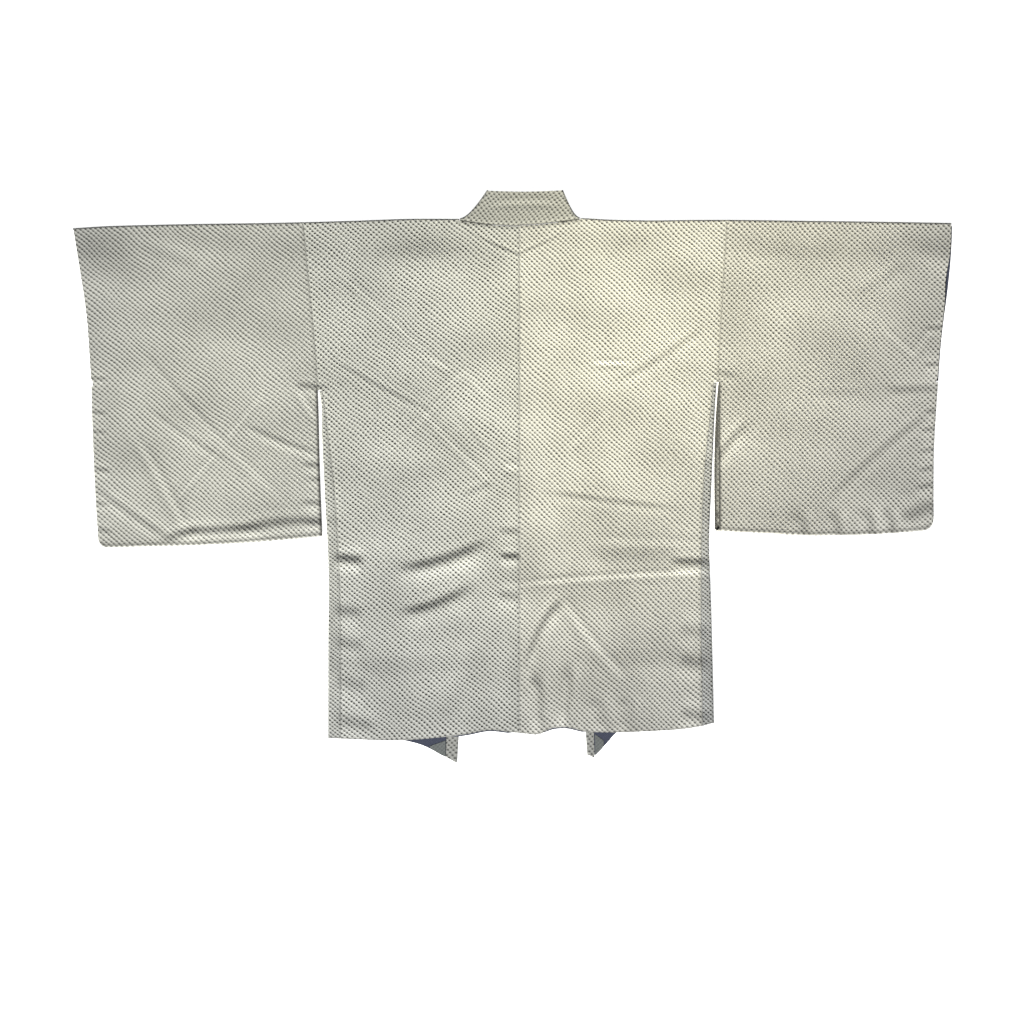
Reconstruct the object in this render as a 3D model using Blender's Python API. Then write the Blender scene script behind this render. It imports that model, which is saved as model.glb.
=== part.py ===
"""A haori: the hip-length jacket worn over a kimono, in lined silk, laid out flat with its back up.

Metres, +Z up.  The garment lies on the plane z = 0 on its fronts, with the neck towards +Y and the
wearer's right sleeve towards +X.  Its pieces are worked out in a tailor's frame: x from the centre
back seam, and "down" from the shoulder line towards the hem.  One empty then carries all of them so
that the whole jacket stands centred on the origin.

Each piece is a wall of cloth.  Its middle surface is a net of points, each with the direction that
faces out of the garment there, and the wall is half its thickness on either side of that net.
"""
import math

import bpy
import numpy as np

MM = 0.001

# ---------------------------------------------------------------------------------------------
# Cloth and levels
# ---------------------------------------------------------------------------------------------
CLOTH = 1.5 * MM              # shell silk with its lining behind it
COLLAR_CLOTH = 2.4 * MM       # the collar is the same silk folded double
LINING = 1.0 * MM             # the lining and the turned-up hem, where they show
SEAM_GAP = 0.3 * MM           # between two pieces that are sewn together
NECK_GAP = 0.45 * MM          # the curved collar seam

FRONT_LEVEL = CLOTH / 2       # middle of the fronts, which lie on the table
BACK_LEVEL = 4.5 * MM         # middle of the back along the shoulder fold
LOFT = 1.4 * MM               # how much the back floats up away from that fold
OPENING_SAG = 1.1 * MM        # how far the back sinks between the two collar legs
LINED_LIFT = 1.3 * MM         # how much higher the back lies over the front lining
COLLAR_BULK = 2.45 * MM       # how much higher it lies over the folded collar
FOLD_FLOOR = 0.6 * MM         # no trough sinks further than this below where the back rests
FOLD_SOFT = 0.5 * MM          # how gently a trough bottoms out
COLLAR_LOW = COLLAR_CLOTH / 2
COLLAR_ROLL = 1.5 * MM        # radius of the collar's lengthwise crease, at mid wall
COLLAR_LIFT = 2 * COLLAR_ROLL
CREASE_INSET = COLLAR_ROLL + COLLAR_CLOTH / 2

# Spans over which one level passes into the next, each (from, to).
NECK_EASES = (0, 30 * MM)               # down: the collar seam leaves the shoulder
CREASE_FORMS = (-40 * MM, 0)            # down: the collar's crease leaves the folded corner
CREASE_ROUNDS = (90 * MM, 150 * MM)     # down: the crease grows its roll
LEG_RISES = (25 * MM, 120 * MM)         # down: a collar leg climbs onto its turned half
LEG_EASES = (16 * MM, 2 * MM)           # beyond the turned half's edge
SEAM_RISES = (-14 * MM, -2 * MM)        # from the collar seam to the turned half's edge
FRONT_EASES = 18 * MM                   # a front comes down to the table over this width
FRONT_CLEARS = 3 * MM                   # and starts this far beyond the turned half
BACK_RISES = (10 * MM, 110 * MM)        # down: the back climbs over the collar
BACK_EASES = (60 * MM, 8 * MM)          # beyond the turned half's edge
OPENING_SPAN = (-54 * MM, -2 * MM)      # from the crease: the back sinks between the legs
OPENING_SINKS = (20 * MM, 120 * MM)     # down
LOFT_GROWS = (8 * MM, 60 * MM)          # down: the folds grow away from the shoulder
LINED_ENDS = (40 * MM, 5 * MM)          # above the front lining's upper edge

# ---------------------------------------------------------------------------------------------
# Nets: how many cells each piece is divided into
# ---------------------------------------------------------------------------------------------
NECK_COLUMNS = 4
SHOULDER_COLUMNS = 10
ARMHOLE_ROWS = 11
LOWER_ROWS = 23
FRONT_ARMHOLE_ROWS = 4
FRONT_LOWER_ROWS = 12
SLEEVE_COLUMNS = 16
CUFF_ROWS = 10
CLOSED_ROWS = 10
OPEN_UNDER_ROWS = [0, 4, 8]   # the rows kept on the flat lower layer beside the cuff's opening
CORNER_STEP = 0.45            # where the rounded corner has its middle point
FOLD_STEPS = 4                # facets round each folded edge
COLLAR_CELLS = 5              # cells across the collar
LEG_TOP_ROWS = 7
LEG_ROWS = 20
FLAP_CELLS = 2
GUSSET_ROWS = 16
BACK_CELLS, FRONT_CELLS = 2, 3  # cells across a gusset's two layers
CUFF_LINING_ROWS = 10
CUFF_LINING_COLUMNS = 2
LINING_CELLS_UP = 2           # how many cells of a front its lining reaches up from the hem

# ---------------------------------------------------------------------------------------------
# Cut
# ---------------------------------------------------------------------------------------------
ARMHOLE_END = {"left": 252 * MM, "right": 240 * MM}
CUFF_OPENING_END = {"left": 243 * MM, "right": 240 * MM}
CUFF_CORNER = {"left": 15 * MM, "right": 17 * MM}
SIDE_HEM = 765 * MM           # how far down the side seams end
COLLAR_HEM = 793 * MM         # how far down the collar seams end
SLEEVE_DEPTH = 470 * MM
SLEEVE_WIDTH = 340 * MM
SLEEVE_END = 600 * MM         # just inside the cuff
NECK_POINT = {"left": 89 * MM, "right": 90 * MM}
NECK_DEPTH = 8.5 * MM         # how far the back neck dips below the shoulder line
NECK_RISE = -1.5 * MM         # the collar's free edge sags a little between its corners
FLAP_SHORT = 1.5 * MM         # the turned-back half ends this far above the front's hem
EDGE_SHORT = 0.012            # in cells of a front: how far its lining and facing stop short
FACING_TIP = 0.12             # in cells too: how far the facing's tip is cut back
TIP_CELL = 0.25               # and how near the tip its last column may come
COLLAR_WIDTH = 54 * MM
CUFF_LINING_DEPTH = 45 * MM   # how far it reaches into the sleeve
CUFF_LINING_SHORT = 2 * MM    # how far it stops short of the opening's two ends
CUFF_PEEK = 1.5 * MM          # how far the shell stays behind the cuff lining's edge
CUFF_PEEK_MORE = 3.5 * MM     # and how much further where the cuff gapes most
CUFF_PEEK_AT = 88 * MM
CUFF_PEEK_SPREAD = 30 * MM
PLAIN_CUFF = 0.6 * MM         # the same where no lining shows
UNDER_CUFF = 0.9 * MM         # and on the lower layer
FRONT_LINING_DEPTH = 86 * MM  # from the back hem up to the front lining's upper edge
COLLAR_FLAP_START = 150 * MM  # the collar's outer half turns back from here down
COLLAR_FLAP_LEAST = 4 * MM

SIGN = {"left": -1, "right": 1}


def table(columns, *rows):
    """A short table in millimetres, as one array in metres for each named column."""
    values = np.array(rows, dtype=float) * MM
    return {name: values[:, i] for i, name in enumerate(columns.split())}


# Outlines.  "out" is the distance from the centre back seam, "down" that from the shoulder line.
SHOULDER = {
    "left": table("out rise", (0, 1.5), (92, 1.5), (162, 1.5), (251, -1.5), (369, -4.5),
                  (473, -6), (547, -7.5), (620, -9.8), (661, -12.5)),
    "right": table("out rise", (0, 3), (92, 3), (112, 1.5), (178, -0.7), (267, 0), (307, 0),
                   (430, -1.5), (548, -3), (640, -4.6)),
}
CUFF_EDGE = {
    "left": table("down out", (0, 663), (74, 650.5), (151, 640), (192, 637), (243, 634),
                  (296, 632.5), (361, 630), (444, 625.5), (490, 622.5)),
    "right": table("down out", (0, 640), (38, 639), (110, 632.5), (151, 627), (192, 622.5),
                   (237, 619.5), (281, 616.5), (334, 613.5), (444, 612.5), (480, 612)),
}
SLEEVE_BOTTOM = {
    "left": table("out down", (290, 468.5), (325, 472), (399, 478), (458, 481), (547, 484),
                  (606, 485.5), (640, 486)),
    "right": table("out down", (286, 459.5), (326, 462.5), (371, 464.5), (409, 467.5),
                   (460, 467.7), (533, 465.5), (578, 462), (620, 458)),
}
SLEEVE_INNER = {
    "left": table("down out", (-5, 320.9), (252, 298.5), (370, 295.3), (475, 291.4)),
    "right": table("down out", (-5, 307.3), (240, 294.3), (370, 294.6), (470, 295)),
}
SLEEVE_INNER_UNDER = {
    "left": table("down out", (-5, 320.9), (252, 298.5), (370, 295.3), (475, 291.4)),
    "right": table("down out", (-5, 307.3), (240, 294.3), (262, 292.3), (320, 289), (470, 288.6)),
}
GUSSET_EDGE = {
    "left": table("down out", (252, 296.6), (266, 294), (320, 292.3), (385, 289.3),
                  (503, 283.4), (640, 283.4), (790, 283.4)),
    "right": table("down out", (240, 291.8), (262, 290), (320, 287), (400, 283.5),
                   (474, 280.5), (562, 283.4), (770, 288.5)),
}
GUSSET_SEAM = {
    "left": table("down back front", (252, 291.6, 286.6), (385, 275.3, 267.3),
                  (503, 267.4, 256), (790, 264.4, 239.4)),
    "right": table("down back front", (240, 286.8, 281.8), (400, 271.5, 262),
                   (562, 268.5, 252), (770, 271, 243.5)),
}
BACK_HEM = table("x down", (-300, 766), (-283, 766.6), (-251, 768), (-206, 769.6), (-177, 769.6),
                 (-118, 765.2), (-79, 760.7), (-44, 754.8), (-14, 757.8), (8, 760), (30, 760.7),
                 (45, 753.3), (67, 750.4), (97, 756.3), (134, 757.8), (193, 756.3),
                 (252, 751.8), (300, 742.5))
FRONT_HEM = {
    "left": table("out down", (100, 798), (111.7, 793.3), (136.9, 780), (174.3, 769.6),
                  (206, 767), (239, 765), (300, 762)),
    "right": table("out down", (105, 797), (114.7, 789.6), (128.6, 774.5), (142.4, 759.2),
                   (190, 752), (240, 748), (300, 742)),
}
COLLAR_SEAM = {
    "left": table("down out", (-5, 88.5), (60, 86), (150, 86), (300, 92), (500, 100),
                  (700, 106.5), (810, 109)),
    "right": table("down out", (-5, 89.5), (60, 87), (150, 88), (300, 94), (500, 102),
                   (700, 108.5), (810, 111.3)),
}
COLLAR_CREASE = {
    "left": table("down out", (-46, 48), (0, 42), (60, 36), (150, 38), (300, 50), (500, 69),
                  (700, 86), (810, 92.5)),
    "right": table("down out", (-46, 64.4), (0, 57), (60, 46), (150, 42), (300, 53), (500, 74),
                   (700, 93), (810, 101.4)),
}
# The collar's folded corner: the seam end, the point that pulls the curve, the free end.
COLLAR_CORNER = {
    "left": table("out up", (88, 2.6), (75, 3.2), (48, 44.4)),
    "right": table("out up", (89, 4), (80, 4.6), (64.4, 44.4)),
}
COLLAR_END = {
    "left": table("out down", (108.8, 794.6), (92.5, 802.2)),
    "right": table("out down", (111, 796), (101.4, 792)),
}
# The slanting lower edge of the lining at each front's corner, over the turned-up hem.
LINING_EDGE = {
    "left": table("out down", (108, 769.5), (136.9, 779.5)),
    "right": table("out down", (111, 760), (128.6, 773)),
}

# Folds of the back and of the sleeves.  Each runs from (x0, d0) to (x1, d1), with "d" measured
# down from the shoulder line and its middle moved sideways by "bow".  A soft crest lies on its
# upper side and a trough on its lower side, or left of a fold that runs straight down.
FOLDS = table(
    "x0 d0 x1 d1 bow crest trough wide",
    (-172, 508, -56, 474, 5, 5.0, 2.2, 17),      # deep pull across the left back
    (-168, 571, -76, 532, 6, 4.2, 2.0, 16),      # the shorter one beneath it
    (-262, 500, -228, 512, 0, 2.6, 1.4, 14),     # puckers along the left side seam
    (-262, 570, -226, 584, 0, 2.8, 1.5, 14),
    (-260, 628, -222, 640, 0, 2.4, 1.4, 14),
    (-258, 682, -216, 700, 0, 2.8, 1.4, 15),
    (-254, 735, -212, 752, 0, 2.2, 1.2, 14),
    (-30, 456, -2, 462, 0, 2.0, 1.2, 13),        # puckers along the centre back seam
    (-34, 500, -2, 508, 0, 2.2, 1.3, 13),
    (-30, 560, -2, 566, 0, 1.8, 1.2, 13),
    (-62, 622, -118, 724, 6, 1.6, 2.0, 20),      # broad hollow above the left hem
    (-44, 690, -40, 764, 0, 3.4, 1.0, 17),       # flutes of the hem
    (22, 700, 28, 762, 0, 2.6, 1.2, 15),
    (64, 676, 68, 756, 0, 4.0, 1.6, 15),
    (150, 232, 264, 168, 0, 1.8, 1.2, 18),       # slanting crease under the right shoulder blade
    (56, 402, 212, 419, 0, 1.6, 1.0, 18),        # level creases across the right back
    (8, 536, 280, 515, -4, 4.4, 1.8, 17),
    (70, 556, 14, 640, 6, 2.6, 2.0, 18),         # an upturned V below them
    (66, 552, 152, 668, 4, 3.0, 1.8, 18),
    (20, 640, 40, 730, 0, 2.2, 1.6, 16),
    (222, 600, 270, 610, 0, 2.6, 1.4, 14),       # puckers along the right side seam
    (220, 646, 272, 656, 0, 2.4, 1.4, 14),
    (216, 722, 272, 734, 0, 2.4, 1.2, 14),
    (-556, 190, -356, 412, 8, 2.4, 1.6, 20),     # long slanting creases of the left sleeve
    (-536, 282, -424, 374, 4, 2.0, 1.4, 18),
    (-504, 418, -388, 278, 4, 3.0, 1.2, 16),
    (-566, 336, -508, 448, 3, 2.6, 1.2, 17),
    (-484, 446, -296, 444, -3, 3.4, 1.6, 15),    # roll along its lower edge
    (-624, 396, -528, 454, 3, 2.6, 1.4, 17),
    (-330, 318, -300, 326, 0, 2.2, 1.2, 14),
    (-582, 34, -468, 92, 0, 1.6, 1.0, 22),
    (470, 394, 610, 288, 5, 3.0, 1.6, 18),       # creases of the right sleeve
    (432, 243, 610, 256, 0, 2.4, 1.4, 17),
    (368, 300, 330, 318, 0, 1.6, 1.0, 16),
    (352, 398, 360, 462, 0, 2.4, 1.2, 14),       # puckers above its bottom seam
    (410, 404, 414, 464, 0, 2.6, 1.2, 14),
    (462, 400, 466, 464, 0, 2.6, 1.2, 14),
    (514, 396, 520, 460, 0, 2.4, 1.2, 14),
    (560, 398, 566, 456, 0, 2.2, 1.2, 14),
)

# The fold's section in widths of the fold, and how its ends fade in lengths of the fold.
CREST_AT, TROUGH_AT, TROUGH_WIDE = 0.55, 0.5, 0.8
FOLD_FADES = (-0.18, 0.25)


# ---------------------------------------------------------------------------------------------
# Curves and ramps
# ---------------------------------------------------------------------------------------------
def follow(rows, by, want, at):
    """Column `want` where column `by` is `at`, on a smooth curve through the table's rows."""
    known, value = rows[by], rows[want]
    slope = np.gradient(value, known)
    at = np.clip(at, known[0], known[-1])
    i = np.clip(np.searchsorted(known, at, side="right") - 1, 0, len(known) - 2)
    step = known[i + 1] - known[i]
    t = (at - known[i]) / step
    return ((1 + 2 * t) * (1 - t) ** 2 * value[i] + t * (1 - t) ** 2 * step * slope[i]
            + t * t * (3 - 2 * t) * value[i + 1] + t * t * (t - 1) * step * slope[i + 1])


def ramp(low, high, at):
    """0 at `low`, 1 at `high`, and smooth between them, whichever is the greater."""
    t = np.clip((at - low) / (high - low), 0, 1)
    return t * t * (3 - 2 * t)


def between(a, b, t):
    """The value or point the fraction t of the way from a to b."""
    return a + (b - a) * t


def net_between(top, bottom, first, last, u, v):
    """A Coons patch: points over the fractions u across and v down, from its four edge curves."""
    u, v = u[None, :, None], v[:, None, None]
    top, bottom = top[None, :, :], bottom[None, :, :]
    first, last = first[:, None, :], last[:, None, :]
    corners = (between(top[:, :1], top[:, -1:], u) * (1 - v)
               + between(bottom[:, :1], bottom[:, -1:], u) * v)
    return between(top, bottom, v) + between(first, last, u) - corners


def plan(x, down):
    """Points on the table from x and the distance below the shoulder line."""
    x, down = np.broadcast_arrays(x, down)
    return np.stack([x, -down], axis=-1)


# ---------------------------------------------------------------------------------------------
# Heights
# ---------------------------------------------------------------------------------------------
def collar_lines(side, down):
    """The collar's seam, its crease and the edge of the half that is turned back, as "out"."""
    seam = follow(COLLAR_SEAM[side], "down", "out", down)
    crease = follow(COLLAR_CREASE[side], "down", "out", down)
    flat = seam - crease - CREASE_INSET
    turned = np.maximum(COLLAR_WIDTH - flat - math.pi * COLLAR_ROLL, COLLAR_FLAP_LEAST)
    return seam, crease, crease + CREASE_INSET + turned


def seam_lift(side, down):
    """1 where the turned-back half reaches under the collar's seam, 0 where it stops short."""
    seam, _, flap_end = collar_lines(side, down)
    return ramp(*SEAM_RISES, flap_end - seam)


def collar_height(side, out, down):
    """Middle of the collar's upper half, where it lies over the half that is turned back."""
    _, _, flap_end = collar_lines(side, down)
    lift = np.maximum(seam_lift(side, down), ramp(*LEG_EASES, out - flap_end))
    return COLLAR_LOW + COLLAR_LIFT * lift * ramp(*LEG_RISES, down)


def front_height(side, out, down):
    """Middle of a front, which lies on the table and climbs over the collar's turned half."""
    seam, _, flap_end = collar_lines(side, down)
    plateau = np.maximum(flap_end + FRONT_CLEARS, seam)
    climb = COLLAR_LOW + COLLAR_LIFT - FRONT_LEVEL
    return FRONT_LEVEL + climb * seam_lift(side, down) * ramp(FRONT_EASES, 0, out - plateau)


def resting_height(x, down):
    """Middle of the back where it simply lies on the fronts, the collar legs and their lining."""
    height = np.zeros(np.shape(x))
    for side, sign in SIGN.items():
        out = x * sign
        _, crease, flap_end = collar_lines(side, down)
        above_hem = follow(BACK_HEM, "x", "down", x) - down
        lined = LINED_LIFT * ramp(*LINED_ENDS, above_hem - FRONT_LINING_DEPTH)
        folded = COLLAR_BULK * ramp(*BACK_RISES, down) * ramp(*BACK_EASES, out - flap_end)
        outside = BACK_LEVEL + lined + folded
        centre = BACK_LEVEL - OPENING_SAG * ramp(*OPENING_SINKS, down)
        inside = between(centre, outside, ramp(*OPENING_SPAN, out - crease))
        height = np.where(out >= 0, np.where(out >= crease, outside, inside), height)
    return height


def fold_height(x, down):
    """What the folds add: over each, a bell-shaped crest and beside it a narrower trough."""
    height = np.zeros(np.shape(x))
    for i in range(len(FOLDS["x0"])):
        x0, d0, x1, d1, bow, crest, trough, wide = (column[i] for column in FOLDS.values())
        length = math.hypot(x1 - x0, d1 - d0)
        run_x, run_d = (x1 - x0) / length, (d1 - d0) / length
        along = ((x - x0) * run_x + (down - d0) * run_d) / length
        below = (down - d0) * run_x - (x - x0) * run_d - 4 * bow * along * (1 - along)
        ends = ramp(*FOLD_FADES, along) * ramp(*FOLD_FADES, 1 - along)
        over = np.exp(-((below / wide + CREST_AT)) ** 2)
        under = np.exp(-((below / wide - TROUGH_AT) / TROUGH_WIDE) ** 2)
        height = height + ends * (crest * over - trough * under)
    return height


def back_height(x, down):
    """Middle of the back and of the sleeves' upper layer."""
    rest = resting_height(x, down)
    lifted = (LOFT + fold_height(x, down)) * ramp(*LOFT_GROWS, down)
    return rest - FOLD_FLOOR + FOLD_SOFT * np.logaddexp(0, (lifted + FOLD_FLOOR) / FOLD_SOFT)


# ---------------------------------------------------------------------------------------------
# Walls of cloth
# ---------------------------------------------------------------------------------------------
class Cloth:
    """The middle surface of one piece: points, the way out of the garment at each, and cells."""

    def __init__(self):
        self.points, self.outward, self.cells = [], [], []

    def add(self, points, outward):
        """Add a net of points, shaped (rows, columns, 3), and return their numbers."""
        first = len(self.points)
        self.points.extend(points.reshape(-1, 3))
        self.outward.extend(np.broadcast_to(outward, points.shape).reshape(-1, 3))
        return first + np.arange(points.shape[0] * points.shape[1]).reshape(points.shape[:2])

    def join(self, net):
        """Fill the cells of a net of point numbers."""
        for row, under in zip(net[:-1], net[1:]):
            for k in range(len(row) - 1):
                self.cells.append((row[k], row[k + 1], under[k + 1], under[k]))

    def roll(self, upper, lower, away, side_out=1):
        """Join two edges that lie over each other by a half-round fold that bulges `away`.

        The garment's outer side is outside the bend, or inside it if side_out is -1.
        """
        top = np.array([self.points[i] for i in upper])
        low = np.array([self.points[i] for i in lower])
        radius = (top[:, 2:] - low[:, 2:]) / 2
        away = np.column_stack([away, np.zeros(len(away))])
        lines = [upper]
        for step in range(1, FOLD_STEPS):
            angle = math.pi * step / FOLD_STEPS
            middle = between(top, low, step / FOLD_STEPS)
            middle[:, 2:] = (top[:, 2:] + low[:, 2:]) / 2
            facing = away * math.sin(angle) + np.array([0, 0, math.cos(angle)])
            points = middle + radius * facing
            lines.append(self.add(points[None], facing[None] * side_out)[0])
        lines.append(lower)
        self.join(np.array(lines)[:, ::-1])

    def solid(self, name, thickness, material):
        """Give the surface its thickness and return it as one closed object."""
        points, outward = np.array(self.points), np.array(self.outward)
        count = len(points)
        vertices = np.concatenate([points + outward * thickness / 2,
                                   points - outward * thickness / 2])
        outer = [tri for a, b, c, d in self.cells for tri in ((a, b, c), (a, c, d))]
        sides = {(tri[k], tri[(k + 1) % 3]) for tri in outer for k in range(3)}
        faces = list(outer) + [(c + count, b + count, a + count) for a, b, c in outer]
        for a, b in sides:
            if (b, a) not in sides:
                faces.append((b, a, a + count))
                faces.append((b, a + count, b + count))
        if signed_volume(vertices, faces) < 0:
            faces = [face[::-1] for face in faces]
        used = sorted({i for face in faces for i in face})
        renumber = {old: new for new, old in enumerate(used)}
        mesh = bpy.data.meshes.new(name)
        mesh.from_pydata([tuple(vertices[i]) for i in used], [],
                         [tuple(renumber[i] for i in face) for face in faces])
        mesh.materials.append(material)
        mesh.shade_smooth()
        mesh.set_sharp_from_angle(angle=math.radians(50))
        piece = bpy.data.objects.new(name, mesh)
        bpy.context.scene.collection.objects.link(piece)
        return piece


def signed_volume(vertices, faces):
    """Volume of a triangle mesh, below zero if its faces look inwards."""
    a, b, c = (vertices[np.array(faces)[:, k]] for k in range(3))
    return float(np.einsum("ij,ij->i", a, np.cross(b, c)).sum() / 6)


def raised(points, height):
    """Points on the table lifted to a height each."""
    return np.concatenate([points, np.asarray(height)[..., None]], axis=-1)


UP = np.array([0.0, 0.0, 1.0])


# ---------------------------------------------------------------------------------------------
# Pieces
# ---------------------------------------------------------------------------------------------
def shoulder_line(side, out):
    """How far down the upper layer's straight part starts, just inside the shoulder fold."""
    radius = (BACK_LEVEL - FRONT_LEVEL) / 2
    return radius + CLOTH / 2 - follow(SHOULDER[side], "out", "rise", out)


def neck_line(side, out):
    """The back neck seam and the shoulder fold as one line, as "down"."""
    neck = NECK_POINT[side]
    dip = NECK_DEPTH * np.clip(1 - (out / neck) ** 2, 0, None)
    return shoulder_line(side, out) + dip


def body_rows(side, start, end, armhole_rows, lower_rows):
    """Fractions down a body panel, with two close rows where the armhole meets the gusset."""
    jog = ARMHOLE_END[side]
    downs = np.concatenate([np.linspace(start, jog, armhole_rows + 1),
                            np.linspace(jog + 1 * MM, end, lower_rows + 1)])
    return (downs - start) / (end - start)


def body_edge(side, down, layer):
    """Outer edge of the back or of a front: the armhole, then the gusset's seam."""
    armhole = follow(SLEEVE_INNER[side], "down", "out", down) - SEAM_GAP
    gusset = follow(GUSSET_SEAM[side], "down", layer, down)
    return np.where(down <= ARMHOLE_END[side] + 1e-6, armhole, gusset)


def back_net(side):
    """Points of one half of the back on the table, the first NECK_COLUMNS of them at the neck."""
    neck = NECK_POINT[side]
    wide = body_edge(side, 0.0, "back")
    across = np.concatenate([np.linspace(0, neck / wide, NECK_COLUMNS + 1),
                             np.linspace(neck / wide, 1, SHOULDER_COLUMNS + 1)[1:]])
    centre = SEAM_GAP / 2
    top_out = between(centre, wide, across)
    hem_out = between(centre, body_edge(side, SIDE_HEM, "back"), across)
    top = plan(top_out, neck_line(side, top_out))
    hem = plan(hem_out, follow(BACK_HEM, "x", "down", hem_out * SIGN[side]))
    rows = body_rows(side, -top[-1, 1], -hem[-1, 1], ARMHOLE_ROWS, LOWER_ROWS)
    edge_down = between(-top[-1, 1], -hem[-1, 1], rows)
    return net_between(top, hem, plan(centre, between(-top[0, 1], -hem[0, 1], rows)),
                       plan(body_edge(side, edge_down, "back"), edge_down), across, rows)


def front_net(side, shoulder):
    """Points of a front on the table, from the shoulder's points down, and their heights."""
    across = np.linspace(0, 1, SHOULDER_COLUMNS + 1)
    hem_out = between(follow(COLLAR_SEAM[side], "down", "out", COLLAR_HEM) + SEAM_GAP,
                      body_edge(side, SIDE_HEM, "front"), across)
    hem = plan(hem_out, follow(FRONT_HEM[side], "out", "down", hem_out))
    rows = body_rows(side, -shoulder[-1, 1], -hem[-1, 1], FRONT_ARMHOLE_ROWS, FRONT_LOWER_ROWS)
    seam_down = between(-shoulder[0, 1], -hem[0, 1], rows)
    edge_down = between(-shoulder[-1, 1], -hem[-1, 1], rows)
    seam_out = follow(COLLAR_SEAM[side], "down", "out", seam_down) + SEAM_GAP
    seam_out = between(shoulder[0, 0], seam_out, ramp(*NECK_EASES, seam_down))
    net = net_between(shoulder, hem, plan(seam_out, seam_down),
                      plan(body_edge(side, edge_down, "front"), edge_down), across, rows)
    return raised(net, front_height(side, net[..., 0], -net[..., 1]))


def mirrored(points, side):
    """The same points on the wearer's left or right."""
    return points * np.array([SIGN[side], 1, 1][:points.shape[-1]])


def make_body(side, material):
    """One half of the body: a single length of cloth that runs over the shoulder, back to front."""
    cloth = Cloth()
    net = back_net(side)
    front = front_net(side, net[0, NECK_COLUMNS:])
    net = mirrored(net, side)
    back = cloth.add(raised(net, back_height(net[..., 0], -net[..., 1])), UP)
    cloth.join(back)
    under = cloth.add(mirrored(front, side), -UP)
    cloth.join(under[:, ::-1])
    shoulder = np.tile([0.0, 1.0], (SHOULDER_COLUMNS + 1, 1))
    cloth.roll(back[0, NECK_COLUMNS:], under[0], shoulder)
    cloth.solid("body_" + side, CLOTH, material)
    return front


def sleeve_outline(side, rows, across):
    """Cuff edge and bottom edge down to the middle of their rounded corner, facing outwards."""
    round_off = CUFF_CORNER[side]
    bottom_out = follow(CUFF_EDGE[side], "down", "out", SLEEVE_DEPTH)
    centre = np.array([bottom_out - round_off, 0])
    centre[1] = follow(SLEEVE_BOTTOM[side], "out", "down", centre[0]) - round_off
    eighth = math.pi / 4

    def cuff(fraction):
        straight_top = -follow(SHOULDER[side], "out", "rise", bottom_out)
        length = centre[1] - straight_top + round_off * eighth
        down = straight_top + fraction * length
        angle = np.clip((down - centre[1]) / round_off, 0, eighth)
        out = np.where(down < centre[1], follow(CUFF_EDGE[side], "down", "out", down),
                       centre[0] + round_off * np.cos(angle))
        out = out + np.where(down < centre[1], 0, follow(CUFF_EDGE[side], "down", "out", centre[1])
                             - bottom_out)
        facing = np.column_stack([np.cos(angle), -np.sin(angle)])
        down = np.where(down < centre[1], down, centre[1] + round_off * np.sin(angle))
        return plan(out, down), facing

    def bottom(fraction):
        start = follow(SLEEVE_INNER[side], "down", "out", SLEEVE_DEPTH)
        length = centre[0] - start + round_off * eighth
        out = start + fraction * length
        angle = np.clip((out - centre[0]) / round_off, 0, eighth)
        down = np.where(out < centre[0], follow(SLEEVE_BOTTOM[side], "out", "down", out),
                        centre[1] + round_off * np.cos(angle))
        facing = np.column_stack([np.sin(angle), -np.cos(angle)])
        out = np.where(out < centre[0], out, centre[0] + round_off * np.sin(angle))
        return plan(out, down), facing

    return cuff(rows), bottom(across)


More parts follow.
